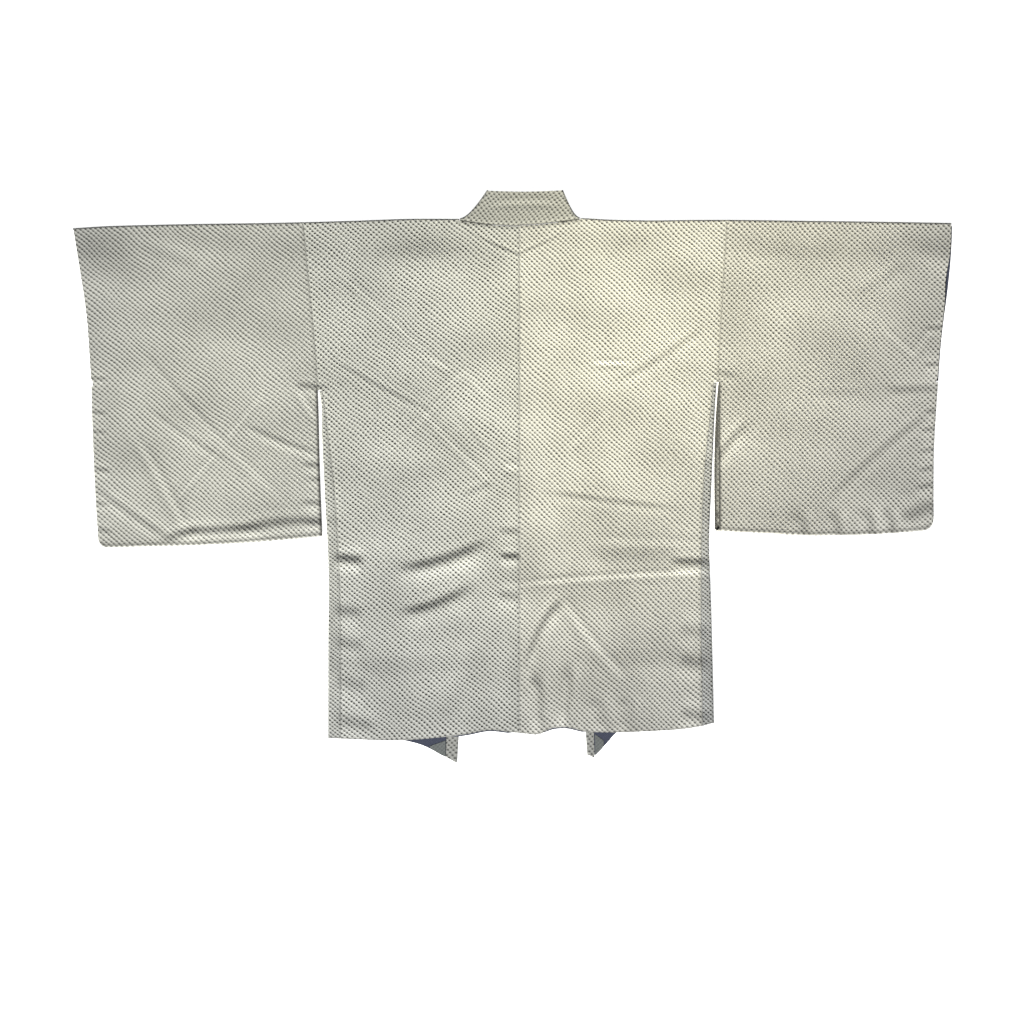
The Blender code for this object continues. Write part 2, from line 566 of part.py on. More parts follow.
def make_sleeve(side, material):
    """A sleeve: one length folded along the shoulder, sewn below and along part of the cuff."""
    sign = SIGN[side]
    cloth = Cloth()
    depth = follow(SLEEVE_BOTTOM[side], "out", "down", SLEEVE_END)
    corner = CUFF_CORNER[side] / depth
    opening = CUFF_OPENING_END[side] / depth
    rows = np.concatenate([np.linspace(0, opening, CUFF_ROWS + 1),
                           np.linspace(opening, 1 - corner, CLOSED_ROWS + 1)[1:],
                           [1 - corner * CORNER_STEP, 1]])
    corner = CUFF_CORNER[side] / SLEEVE_WIDTH
    across = np.concatenate([np.linspace(0, 1 - corner, SLEEVE_COLUMNS + 1),
                             [1 - corner * CORNER_STEP, 1]])
    first_closed = CUFF_ROWS
    (cuff, cuff_facing), (bottom, bottom_facing) = sleeve_outline(side, rows, across)

    def height_at(points):
        return back_height(points[..., 0] * sign, -points[..., 1])

    def layer(inner_table, cuff_inset, keep_rows, height, outward):
        closed_inset = (height_at(cuff) - FRONT_LEVEL + CLOTH) / 2
        inset = np.where(np.arange(len(rows)) >= first_closed, closed_inset, cuff_inset)
        last = cuff - cuff_facing * inset[:, None]
        bottom_inset = (height_at(bottom) - FRONT_LEVEL + CLOTH) / 2
        low = bottom - bottom_facing * bottom_inset[:, None]
        low[-1] = last[-1]
        inner_down = between(shoulder_line(side, inner_table["out"][0]), -low[0, 1], rows)
        inner = plan(follow(inner_table, "down", "out", inner_down), inner_down)
        low[:, 0] += (inner[-1, 0] - low[0, 0]) * (1 - across) ** 4  # meets the inner edge
        out = between(inner[0, 0], last[0, 0], across)
        high = plan(out, shoulder_line(side, out))
        last[0] = high[-1]
        net = net_between(high, low, inner, last, across, rows)[keep_rows]
        net[..., 0] *= sign
        return cloth.add(raised(net, height(net)), outward)

    peek = PLAIN_CUFF
    if side == "right":
        peek = CUFF_PEEK + CUFF_PEEK_MORE * np.exp(
            -((-cuff[:, 1] - CUFF_PEEK_AT) / CUFF_PEEK_SPREAD) ** 2)
    everything = np.arange(len(rows))
    sparse = np.concatenate([OPEN_UNDER_ROWS, np.arange(first_closed, len(rows))])
    upper = layer(SLEEVE_INNER[side], peek, everything,
                  lambda net: back_height(net[..., 0], -net[..., 1]), UP)
    lower = layer(SLEEVE_INNER_UNDER[side], UNDER_CUFF, sparse,
                  lambda net: np.full(net.shape[:2], FRONT_LEVEL), -UP)
    cloth.join(upper)
    cloth.join(lower[:, ::-1])

    cloth.roll(upper[0], lower[0], np.tile([0.0, 1.0], (len(across), 1)))
    closed = len(rows) - first_closed
    facing = np.concatenate([cuff_facing[-closed:], bottom_facing[-2::-1]]) * [sign, 1]
    cloth.roll(np.concatenate([upper[-closed:, -1], upper[-1, -2::-1]]),
               np.concatenate([lower[-closed:, -1], lower[-1, -2::-1]]), facing)
    return cloth.solid("sleeve_" + side, CLOTH, material)


def make_gusset(side, material):
    """The narrow strip let in below the armhole, folded between the back and the front."""
    sign = SIGN[side]
    cloth = Cloth()
    rows = np.linspace(0, 1, GUSSET_ROWS + 1)
    start = ARMHOLE_END[side] + 1 * MM + SEAM_GAP
    hem_out = follow(GUSSET_EDGE[side], "down", "out", SIDE_HEM)
    side_down = between(start, follow(BACK_HEM, "x", "down", hem_out * sign), rows)
    side_out = follow(GUSSET_EDGE[side], "down", "out", side_down)
    radius = (back_height(side_out * sign, side_down) - FRONT_LEVEL) / 2
    edge = plan(side_out - radius - CLOTH / 2, side_down)

    def layer(seam, hem, cells, height, outward):
        across = np.linspace(0, 1, cells + 1)
        seam_hem = follow(GUSSET_SEAM[side], "down", seam, SIDE_HEM) + SEAM_GAP
        low_out = between(seam_hem, edge[-1, 0], across)
        low = plan(low_out, between(hem(low_out), side_down[-1], across ** 2))
        seam_down = between(start, -low[0, 1], rows)
        first = plan(follow(GUSSET_SEAM[side], "down", seam, seam_down) + SEAM_GAP, seam_down)
        high = plan(between(first[0, 0], edge[0, 0], across), start)
        net = mirrored(net_between(high, low, first, edge, across, rows), side)
        return cloth.add(raised(net, height(net)), outward)

    upper = layer("back", lambda out: follow(BACK_HEM, "x", "down", out * sign), BACK_CELLS,
                  lambda net: back_height(net[..., 0], -net[..., 1]), UP)
    lower = layer("front", lambda out: follow(FRONT_HEM[side], "out", "down", out), FRONT_CELLS,
                  lambda net: np.full(net.shape[:2], FRONT_LEVEL), -UP)
    cloth.join(upper)
    cloth.join(lower[:, ::-1])
    cloth.roll(upper[:, -1], lower[:, -1], np.tile([float(sign), 0.0], (len(rows), 1)))
    cloth.solid("gusset_" + side, CLOTH, material)


def collar_corner(side, across):
    """The slanting fold at one side of the neck: points just inside it, and the way it faces."""
    out, up = COLLAR_CORNER[side]["out"], COLLAR_CORNER[side]["up"]
    corner = np.column_stack([out, up])
    t = across[:, None]
    curve = (1 - t) ** 2 * corner[0] + 2 * t * (1 - t) * corner[1] + t * t * corner[2]
    run = 2 * (1 - t) * (corner[1] - corner[0]) + 2 * t * (corner[2] - corner[1])
    facing = np.column_stack([run[:, 1], -run[:, 0]]) / np.linalg.norm(run, axis=1)[:, None]
    return curve - facing * (BACK_LEVEL - COLLAR_LOW + COLLAR_CLOTH) / 2, facing


def leg_net(side, fold, across, rows):
    """Points of a collar leg on the table, from the fold at the neck down to the hem."""
    end = COLLAR_END[side]
    seam_down = between(-fold[0, 1], end["down"][0], rows)
    seam_out = between(fold[0, 0], follow(COLLAR_SEAM[side], "down", "out", seam_down),
                       ramp(*NECK_EASES, seam_down))
    crease_down = between(-fold[-1, 1], end["down"][1], rows)
    inset = CREASE_INSET * ramp(*CREASE_ROUNDS, crease_down)
    crease_out = follow(COLLAR_CREASE[side], "down", "out", crease_down) + inset
    crease_out = between(fold[-1, 0], crease_out, ramp(*CREASE_FORMS, crease_down))
    seam, crease = plan(seam_out, seam_down), plan(crease_out, crease_down)
    hem = between(seam[-1], crease[-1], across[:, None])
    return net_between(fold, hem, seam, crease, across, rows)


def flap_net(side, crease, across, rows):
    """Points of the half that is turned back under a leg, from the crease outwards."""
    seam_out = COLLAR_END[side]["out"][0]
    _, _, low_end = collar_lines(side, COLLAR_END[side]["down"][1])
    low_out = between(crease[-1, 0], low_end, across)
    front_hem = follow(FRONT_HEM[side], "out", "down", np.maximum(low_out, seam_out)) - FLAP_SHORT
    low_down = between(-crease[-1, 1], front_hem, ramp(crease[-1, 0], seam_out, low_out))
    start = -crease[0, 1]
    last_down = between(start, low_down[-1], rows)
    _, _, last_out = collar_lines(side, last_down)
    high = plan(between(crease[0, 0], last_out[0], across), start)
    return net_between(high, plan(low_out, low_down), crease, plan(last_out, last_down),
                       across, rows)


def neck_net(across, corners):
    """Points of the collar behind the neck: its seam, its free edge and its two corners."""
    seam_x = np.concatenate([-back_net("left")[0, NECK_COLUMNS:0:-1, 0], [0],
                             back_net("right")[0, 1:NECK_COLUMNS + 1, 0]])
    seam_up = NECK_GAP - np.where(seam_x < 0, neck_line("left", -seam_x),
                                  neck_line("right", seam_x))
    seam = np.column_stack([seam_x, seam_up])
    left, right = (mirrored(corners[side], side) for side in ("left", "right"))
    seam[0], seam[-1] = left[0], right[0]
    along = (seam[:, 0] - seam[0, 0]) / (seam[-1, 0] - seam[0, 0])
    free = between(left[-1], right[-1], along[:, None])
    free[:, 1] += NECK_RISE * np.sin(math.pi * along)
    return net_between(seam, free, left, right, along, across)


def make_collar(material):
    """One long band, double cloth: round the back neck, folded under, and down both fronts."""
    cloth = Cloth()
    across = np.linspace(0, 1, COLLAR_CELLS + 1)
    folds = {side: collar_corner(side, across) for side in SIGN}
    neck = neck_net(across, {side: folds[side][0] for side in SIGN})
    behind = cloth.add(raised(neck, np.full(neck.shape[:2], BACK_LEVEL)), UP)
    cloth.join(behind)
    for side, sign in SIGN.items():
        fold, facing = folds[side]
        start, end = fold[-1, 1], COLLAR_END[side]["down"][1]
        turn = (COLLAR_FLAP_START + start) / (end + start)
        rows = np.concatenate([np.linspace(0, turn, LEG_TOP_ROWS + 1),
                               np.linspace(turn, 1, LEG_ROWS + 1)[1:]])
        plan_points = leg_net(side, fold, across, rows)
        heights = collar_height(side, plan_points[..., 0], -plan_points[..., 1])
        leg = cloth.add(mirrored(raised(plan_points, heights), side), -UP)
        rows = np.linspace(0, 1, LEG_ROWS + 1)
        plan_points = flap_net(side, plan_points[LEG_TOP_ROWS:, -1],
                               np.linspace(0, 1, FLAP_CELLS + 1), rows)
        low = np.full(plan_points.shape[:2], COLLAR_LOW)
        flap = cloth.add(mirrored(raised(plan_points, low), side), UP)
        # Walking the edges one way on the left and the other way on the right keeps every cell's
        # outer side out.
        way = -sign
        cloth.join(leg[:, ::way])
        cloth.join(flap[:, ::way])
        edge = behind[:, 0] if side == "left" else behind[:, -1]
        cloth.roll(edge[::-way], leg[0, ::-way], (facing * [sign, 1])[::-way])
        opening = np.tile([-float(sign), 0.0], (LEG_ROWS + 1, 1))
        cloth.roll(leg[LEG_TOP_ROWS:, -1][::way], flap[::way, 0], opening, side_out=-1)
    cloth.solid("collar", COLLAR_CLOTH, material)


def on_net(net, row, column):
    """Points at fractional rows and columns of a front, on the very triangles it is made of."""
    i = np.clip(np.floor(row).astype(int), 0, net.shape[0] - 2)
    k = np.clip(np.floor(column).astype(int), 0, net.shape[1] - 2)
    down, over = (row - i)[..., None], (column - k)[..., None]
    near = net[i, k] + over * (net[i, k + 1] - net[i, k]) + down * (net[i + 1, k] - net[i, k])
    far = (net[i + 1, k + 1] + (1 - over) * (net[i + 1, k] - net[i + 1, k + 1])
           + (1 - down) * (net[i, k + 1] - net[i + 1, k + 1]))
    return np.where(over + down <= 1, near, far)


def front_corner(side, front):
    """Where the lining's slanting edge crosses a front: the columns it needs and its rows."""
    edge = LINING_EDGE[side]
    last = len(front) - 1
    meets = np.interp(edge["out"][1], front[-1, :, 0], np.arange(front.shape[1]))
    columns = np.unique(np.append(np.arange(front.shape[1]), meets))
    hem = np.full(len(columns), float(last))
    line = on_net(front, hem, columns)
    slant = np.interp(line[:, 0], edge["out"], edge["down"])
    above = on_net(front, hem - 1, columns)
    slant_row = last - 1 + (slant + above[:, 1]) / (above[:, 1] - line[:, 1])
    return columns, np.where(columns < meets, slant_row, last), meets


def lay_inside(name, net, rows, columns, material):
    """A thin piece that lies on the inner side of a front, made from the front's own points."""
    cloth = Cloth()
    points = on_net(net, rows, columns)
    points[..., 2] += CLOTH / 2 + SEAM_GAP + LINING / 2
    cloth.join(cloth.add(points, UP)[:, ::-1])
    cloth.solid(name, LINING, material)


def make_front_lining(side, front, material):
    """The lining, where the longer front corner shows it below the back hem."""
    columns, low, _ = front_corner(side, front)
    last = len(front) - 1
    rows = np.array([np.full(len(columns), last - up)
                     for up in range(LINING_CELLS_UP, 0, -1)] + [low - EDGE_SHORT])
    lay_inside("front_lining_" + side, mirrored(front, side), rows,
               np.broadcast_to(columns, rows.shape), material)


def make_hem_facing(side, front, material):
    """The shell turned up inside at the front corner, below the lining's slanting edge."""
    columns, slant, meets = front_corner(side, front)
    tip = meets - FACING_TIP
    kept = columns < tip - TIP_CELL
    slant = np.append(slant[kept], np.interp(tip, columns, slant))
    columns = np.append(columns[kept], tip)
    rows = np.array([slant + EDGE_SHORT, np.full(len(slant), len(front) - 1 - EDGE_SHORT)])
    lay_inside("hem_facing_" + side, mirrored(front, side), rows,
               np.broadcast_to(columns, rows.shape), material)


def make_cuff_lining(side, material):
    """The lining that edges the cuff opening, just proud of the shell."""
    start = shoulder_line(side, CUFF_EDGE[side]["out"][0]) + CUFF_LINING_SHORT
    down = np.linspace(start, CUFF_OPENING_END[side] - CUFF_LINING_SHORT, CUFF_LINING_ROWS + 1)
    edge = plan(follow(CUFF_EDGE[side], "down", "out", down), down)
    inner = edge - [CUFF_LINING_DEPTH, 0]
    level = CLOTH + SEAM_GAP + LINING / 2
    across = np.linspace(0, 1, CUFF_LINING_COLUMNS + 1)
    net = between(inner[:, None], edge[:, None], across[None, :, None])
    cloth = Cloth()
    cloth.join(cloth.add(mirrored(raised(net, np.full(net.shape[:2], level)), side), UP))
    cloth.solid("cuff_lining_" + side, LINING, material)


def silk(name, colour, roughness):
    """A plain Principled material."""
    material = bpy.data.materials.new(name)
    material.use_nodes = True
    shader = material.node_tree.nodes["Principled BSDF"]
    shader.inputs["Base Color"].default_value = (*colour, 1)
    shader.inputs["Roughness"].default_value = roughness
    return material


def carry(pieces):
    """Parent every piece to one empty, placed so that their common box stands on the origin."""
    corners = np.array([list(vertex.co) for piece in pieces for vertex in piece.data.vertices])
    low, high = corners.min(axis=0), corners.max(axis=0)
    haori = bpy.data.objects.new("haori", None)
    bpy.context.scene.collection.objects.link(haori)
    haori.location = (-(low[0] + high[0]) / 2, -(low[1] + high[1]) / 2, -low[2])
    for piece in pieces:
        piece.parent = haori


def main():
    for thing in list(bpy.data.objects):
        bpy.data.objects.remove(thing, do_unlink=True)
    shell = silk("shibori_silk", (0.56, 0.56, 0.5), 0.6)
    wrong_side = silk("shibori_wrong_side", (0.14, 0.15, 0.15), 0.7)
    lining = silk("lining_silk", (0.06, 0.07, 0.13), 0.45)
    for side in SIGN:
        front = make_body(side, shell)
        make_sleeve(side, shell)
        make_gusset(side, shell)
        make_front_lining(side, front, lining)
        make_hem_facing(side, front, wrong_side)
    make_collar(shell)
    make_cuff_lining("right", lining)
    carry([thing for thing in bpy.data.objects if thing.type == "MESH"])


main()
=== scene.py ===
# %% [markdown]
# # A haori, laid out flat
# A haori is the hip-length jacket that is worn open over a kimono. This one is lined silk,
# tie-dyed all over with thousands of tiny dots, and it lies on its fronts with its back up. The
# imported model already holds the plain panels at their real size. This script dresses them: every
# panel becomes a fine shell with its folds, its small raised bumps and its seams, and each gets a
# cloth material.

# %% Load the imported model
import math

import bpy
import numpy as np
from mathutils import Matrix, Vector, geometry, kdtree


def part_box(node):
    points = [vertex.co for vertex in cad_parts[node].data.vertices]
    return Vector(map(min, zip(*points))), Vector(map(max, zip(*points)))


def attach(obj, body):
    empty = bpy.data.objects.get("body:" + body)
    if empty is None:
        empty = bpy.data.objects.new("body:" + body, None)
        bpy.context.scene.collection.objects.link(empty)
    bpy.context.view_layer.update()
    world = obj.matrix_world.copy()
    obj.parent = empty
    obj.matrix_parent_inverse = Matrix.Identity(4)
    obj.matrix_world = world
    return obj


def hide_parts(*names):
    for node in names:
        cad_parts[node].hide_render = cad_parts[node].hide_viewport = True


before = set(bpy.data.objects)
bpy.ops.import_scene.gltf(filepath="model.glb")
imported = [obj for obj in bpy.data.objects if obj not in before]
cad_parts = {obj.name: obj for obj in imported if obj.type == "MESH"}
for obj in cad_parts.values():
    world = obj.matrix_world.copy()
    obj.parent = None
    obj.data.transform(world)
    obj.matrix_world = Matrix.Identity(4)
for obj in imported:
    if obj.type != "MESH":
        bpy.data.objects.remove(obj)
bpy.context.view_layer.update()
print("nodes:", ", ".join(sorted(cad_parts)))

# %% [markdown]
# ## One set of measures
# A tailor measures a haori from two lines: the centre back seam, and the shoulder line. All sizes
# below are told that way, in millimetres: "out" is the distance from the centre seam, "down" the
# distance below the shoulder line. The model stands centred on the world's origin, so the place
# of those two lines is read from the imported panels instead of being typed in.

# %% The tailor's two lines
MM = 0.001
ROUNDING = 1e-6               # values that differ by less than this are the same
COLLAR_TOP = 44.4 * MM        # the collar's free edge stands this far above the shoulder line
centre_x = (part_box("body_left")[1].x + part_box("body_right")[0].x) / 2
shoulder_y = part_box("collar")[1].y - COLLAR_TOP
print(f"centre seam at x {centre_x / MM:.1f} mm, shoulder line at y {shoulder_y / MM:.1f} mm")

# %% [markdown]
# ## The cut, as short tables
# On the real jacket every edge is a seam, a fold or a hem, and none is quite straight once the
# cloth is laid down. They could be drawn as Bezier curves by hand. A table of a few measured
# points for each edge is easier to read and to correct, and one function then runs a smooth curve
# through it.

# %% Short tables and smooth curves through them
SIGN = {"left": -1, "right": 1}


def table(columns, *rows):
    """A short table in millimetres, as one array in metres for each named column."""
    values = np.array(rows, dtype=float) * MM
    return {name: values[:, i] for i, name in enumerate(columns.split())}


def pair(columns, left, right):
    """A short table for each side."""
    return {"left": table(columns, *left), "right": table(columns, *right)}


def follow(rows, by, want, at):
    """Column `want` where column `by` is `at`, on a smooth curve through the table's rows."""
    known, value = rows[by], rows[want]
    slope = np.gradient(value, known)
    at = np.clip(at, known[0], known[-1])
    i = np.clip(np.searchsorted(known, at, side="right") - 1, 0, len(known) - 2)
    step = known[i + 1] - known[i]
    t = (at - known[i]) / step
    return ((1 + 2 * t) * (1 - t) ** 2 * value[i] + t * (1 - t) ** 2 * step * slope[i]
            + t * t * (3 - 2 * t) * value[i + 1] + t * t * (t - 1) * step * slope[i + 1])


def out_at(tables, side, down):
    """How far out the edge of one side is at a distance down."""
    return follow(tables[side], "down", "out", down)


def down_at(tables, side, out):
    """How far down it is at a distance out."""
    return follow(tables[side], "out", "down", out)


def ramp(low, high, at):
    """0 at `low`, 1 at `high`, and smooth between them, whichever is the greater."""
    t = np.clip((at - low) / (high - low), 0, 1)
    return t * t * (3 - 2 * t)


def between(a, b, t):
    """The value or point the fraction t of the way from a to b."""
    return a + (b - a) * t


def plan(x, down):
    """Points on the table from x and the distance below the shoulder line."""
    x, down = np.broadcast_arrays(x, down)
    return np.stack([x, -down], axis=-1)


def raised(points, height):
    """Points on the table lifted to a height each."""
    return np.concatenate([points, np.asarray(height)[..., None]], axis=-1)


# %% The edges of the panels
# "rise" is a distance above the shoulder line.
SHOULDER = pair(
    "out rise",
    [(0, 1.5), (92, 1.5), (162, 1.5), (251, -1.5), (369, -4.5), (473, -6), (547, -7.5),
     (620, -9.8), (661, -12.5)],
    [(0, 3), (92, 3), (112, 1.5), (178, -0.7), (267, 0), (307, 0), (430, -1.5), (548, -3),
     (640, -4.6)])
CUFF_EDGE = pair(
    "down out",
    [(0, 663), (74, 650.5), (151, 640), (192, 637), (243, 634), (296, 632.5), (361, 630),
     (444, 625.5), (490, 622.5)],
    [(0, 640), (38, 639), (110, 632.5), (151, 627), (192, 622.5), (237, 619.5), (281, 616.5),
     (334, 613.5), (444, 612.5), (480, 612)])
SLEEVE_BOTTOM = pair(
    "out down",
    [(290, 468.5), (325, 472), (399, 478), (458, 481), (547, 484), (606, 485.5), (640, 486)],
    [(286, 459.5), (326, 462.5), (371, 464.5), (409, 467.5), (460, 467.7), (533, 465.5),
     (578, 462), (620, 458)])
SLEEVE_INNER = pair(
    "down out",
    [(-5, 320.9), (252, 298.5), (370, 295.3), (475, 291.4)],
    [(-5, 307.3), (240, 294.3), (370, 294.6), (470, 295)])
# The lower layer of a sleeve: the left one's edge lies right under the upper one's.
SLEEVE_INNER_UNDER = dict(SLEEVE_INNER, right=table(
    "down out", (-5, 307.3), (240, 294.3), (262, 292.3), (320, 289), (470, 288.6)))
GUSSET_EDGE = pair(
    "down out",
    [(252, 296.6), (266, 294), (320, 292.3), (385, 289.3), (503, 283.4), (640, 283.4),
     (790, 283.4)],
    [(240, 291.8), (262, 290), (320, 287), (400, 283.5), (474, 280.5), (562, 283.4), (770, 288.5)])
GUSSET_SEAM = pair(
    "down back front",
    [(252, 291.6, 286.6), (385, 275.3, 267.3), (503, 267.4, 256), (790, 264.4, 239.4)],
    [(240, 286.8, 281.8), (400, 271.5, 262), (562, 268.5, 252), (770, 271, 243.5)])
BACK_HEM = table("x down", (-300, 766), (-283, 766.6), (-251, 768), (-206, 769.6), (-177, 769.6),
                 (-118, 765.2), (-79, 760.7), (-44, 754.8), (-14, 757.8), (8, 760), (30, 760.7),
                 (45, 753.3), (67, 750.4), (97, 756.3), (134, 757.8), (193, 756.3),
                 (252, 751.8), (300, 742.5))
FRONT_HEM = pair(
    "out down",
    [(100, 798), (111.7, 793.3), (136.9, 780), (174.3, 769.6), (206, 767), (239, 765), (300, 762)],
    [(105, 797), (114.7, 789.6), (128.6, 774.5), (142.4, 759.2), (190, 752), (240, 748),
     (300, 742)])
COLLAR_SEAM = pair(
    "down out",
    [(-5, 88.5), (60, 86), (150, 86), (300, 92), (500, 100), (700, 106.5), (810, 109)],
    [(-5, 89.5), (60, 87), (150, 88), (300, 94), (500, 102), (700, 108.5), (810, 111.3)])
COLLAR_CREASE = pair(
    "down out",
    [(-46, 48), (0, 42), (60, 36), (150, 38), (300, 50), (500, 69), (700, 86), (810, 92.5)],
    [(-46, 64.4), (0, 57), (60, 46), (150, 42), (300, 53), (500, 74), (700, 93), (810, 101.4)])
# The collar's folded corner: the seam end, the point that pulls the curve, the free end.
COLLAR_CORNER = pair(
    "out up",
    [(88, 2.6), (75, 3.2), (48, 44.4)],
    [(89, 4), (80, 4.6), (64.4, 44.4)])
COLLAR_END = pair(
    "out down",
    [(108.8, 794.6), (92.5, 802.2)],
    [(111, 796), (101.4, 792)])
# The slanting lower edge of the lining at each front's corner, over the turned-up hem.
LINING_EDGE = pair(
    "out down",
    [(108, 769.5), (136.9, 779.5)],
    [(111, 760), (128.6, 773)])


def back_hem(x):
    """How far down the back's hem is."""
    return follow(BACK_HEM, "x", "down", x)


print(f"shoulder to hem in the middle of the back: {back_hem(0.0) / MM:.0f} mm")

# %% [markdown]
# ## Levels
# A garment that lies flat is a stack: the fronts on the table, the turned collar legs beside
# them, and the back over all of it. So the height of the back is worked out from what lies under
# it. These are the same levels and spans as those of the plain model, which keeps both stacks
# alike.

# %% Thickness of the cloth
CLOTH = 1.5 * MM              # shell silk with its lining behind it
COLLAR_CLOTH = 2.4 * MM       # the collar is the same silk folded double
LINING = 1.0 * MM             # the lining and the turned-up hem, where they show
SEAM_GAP = 0.3 * MM           # between two pieces that are sewn together
TIGHT_GAP = 0.06 * MM         # the same where their seam is pulled tight
print(f"two layers of cloth: {2 * CLOTH / MM:.0f} mm")

# %% Levels of the stack
FRONT_LEVEL = CLOTH / 2       # middle of the fronts, which lie on the table
BACK_LEVEL = 4.5 * MM         # middle of the back along the shoulder fold
OPENING_SAG = 1.1 * MM        # how far the back sinks between the two collar legs
LINED_LIFT = 1.3 * MM         # how much higher the back lies over the front lining
FRONT_LINING_DEPTH = 86 * MM  # from the back hem up to the front lining's upper edge
COLLAR_BULK = 2.45 * MM       # how much higher it lies over the folded collar
COLLAR_LOW = COLLAR_CLOTH / 2
COLLAR_WIDTH = 54 * MM
COLLAR_ROLL = 1.5 * MM        # radius of the collar's lengthwise crease, at mid wall
COLLAR_LIFT = 2 * COLLAR_ROLL
COLLAR_FLAP_LEAST = 4 * MM    # the turned-back half is never narrower than this
CREASE_INSET = COLLAR_ROLL + COLLAR_CLOTH / 2

# Spans over which one level passes into the next, each (from, to).
LEG_RISES = (25 * MM, 120 * MM)         # down: a collar leg climbs onto its turned half
LEG_EASES = (16 * MM, 2 * MM)           # beyond the turned half's edge
SEAM_RISES = (-14 * MM, -2 * MM)        # from the collar seam to the turned half's edge
FRONT_EASES = 18 * MM                   # a front comes down to the table over this width
FRONT_CLEARS = 3 * MM                   # and starts this far beyond the turned half
BACK_RISES = (10 * MM, 110 * MM)        # down: the back climbs over the collar
BACK_EASES = (60 * MM, 8 * MM)          # beyond the turned half's edge
OPENING_SPAN = (-54 * MM, -2 * MM)      # from the crease: the back sinks between the legs
OPENING_SINKS = (20 * MM, 120 * MM)     # down
LINED_ENDS = (40 * MM, 5 * MM)          # above the front lining's upper edge


def collar_lines(side, down):
    """The collar's seam, its crease and the edge of the half that is turned back, as "out"."""
    seam = out_at(COLLAR_SEAM, side, down)
    crease = out_at(COLLAR_CREASE, side, down)
    flat = seam - crease - CREASE_INSET
    turned = np.maximum(COLLAR_WIDTH - flat - math.pi * COLLAR_ROLL, COLLAR_FLAP_LEAST)
    return seam, crease, crease + CREASE_INSET + turned


def seam_lift(side, down):
    """1 where the turned-back half reaches under the collar's seam, 0 where it stops short."""
    seam, _, flap_end = collar_lines(side, down)
    return ramp(*SEAM_RISES, flap_end - seam)


def collar_height(side, out, down):
    """Middle of the collar's upper half, where it lies over the half that is turned back."""
    flap_end = collar_lines(side, down)[2]
    lift = np.maximum(seam_lift(side, down), ramp(*LEG_EASES, out - flap_end))
    return COLLAR_LOW + COLLAR_LIFT * lift * ramp(*LEG_RISES, down)


def front_height(side, out, down):
    """Middle of a front, which lies on the table and climbs over the collar's turned half."""
    seam, _, flap_end = collar_lines(side, down)
    plateau = np.maximum(flap_end + FRONT_CLEARS, seam)
    climb = COLLAR_LOW + COLLAR_LIFT - FRONT_LEVEL
    return FRONT_LEVEL + climb * seam_lift(side, down) * ramp(FRONT_EASES, 0, out - plateau)


def resting_height(x, down):
    """Middle of the back where it simply lies on the fronts, the collar legs and their lining."""
    height = np.zeros(np.shape(x))
    for side, sign in SIGN.items():
        out = x * sign
        _, crease, flap_end = collar_lines(side, down)
        above_hem = back_hem(x) - down
        lined = LINED_LIFT * ramp(*LINED_ENDS, above_hem - FRONT_LINING_DEPTH)
        folded = COLLAR_BULK * ramp(*BACK_RISES, down) * ramp(*BACK_EASES, out - flap_end)
        outside = BACK_LEVEL + lined + folded
        centre = BACK_LEVEL - OPENING_SAG * ramp(*OPENING_SINKS, down)
        inside = between(centre, outside, ramp(*OPENING_SPAN, out - crease))
        height = np.where(out >= 0, np.where(out >= crease, outside, inside), height)
    return height


print(f"middle of the back at mid height: {resting_height(0.0, 0.4) / MM:.1f} mm")

# %% [markdown]
# ## Folds
# Laid silk keeps broad soft folds where it was pushed together, and puckers along its seams. A
# cloth simulation would make folds of its own, in other places. Each fold that matters is a row
# of a table instead, with a crest on one side and a trough on the other, so each can be placed
# and weighed by itself. A second table holds the faint creases that are left by folding the
# jacket away.

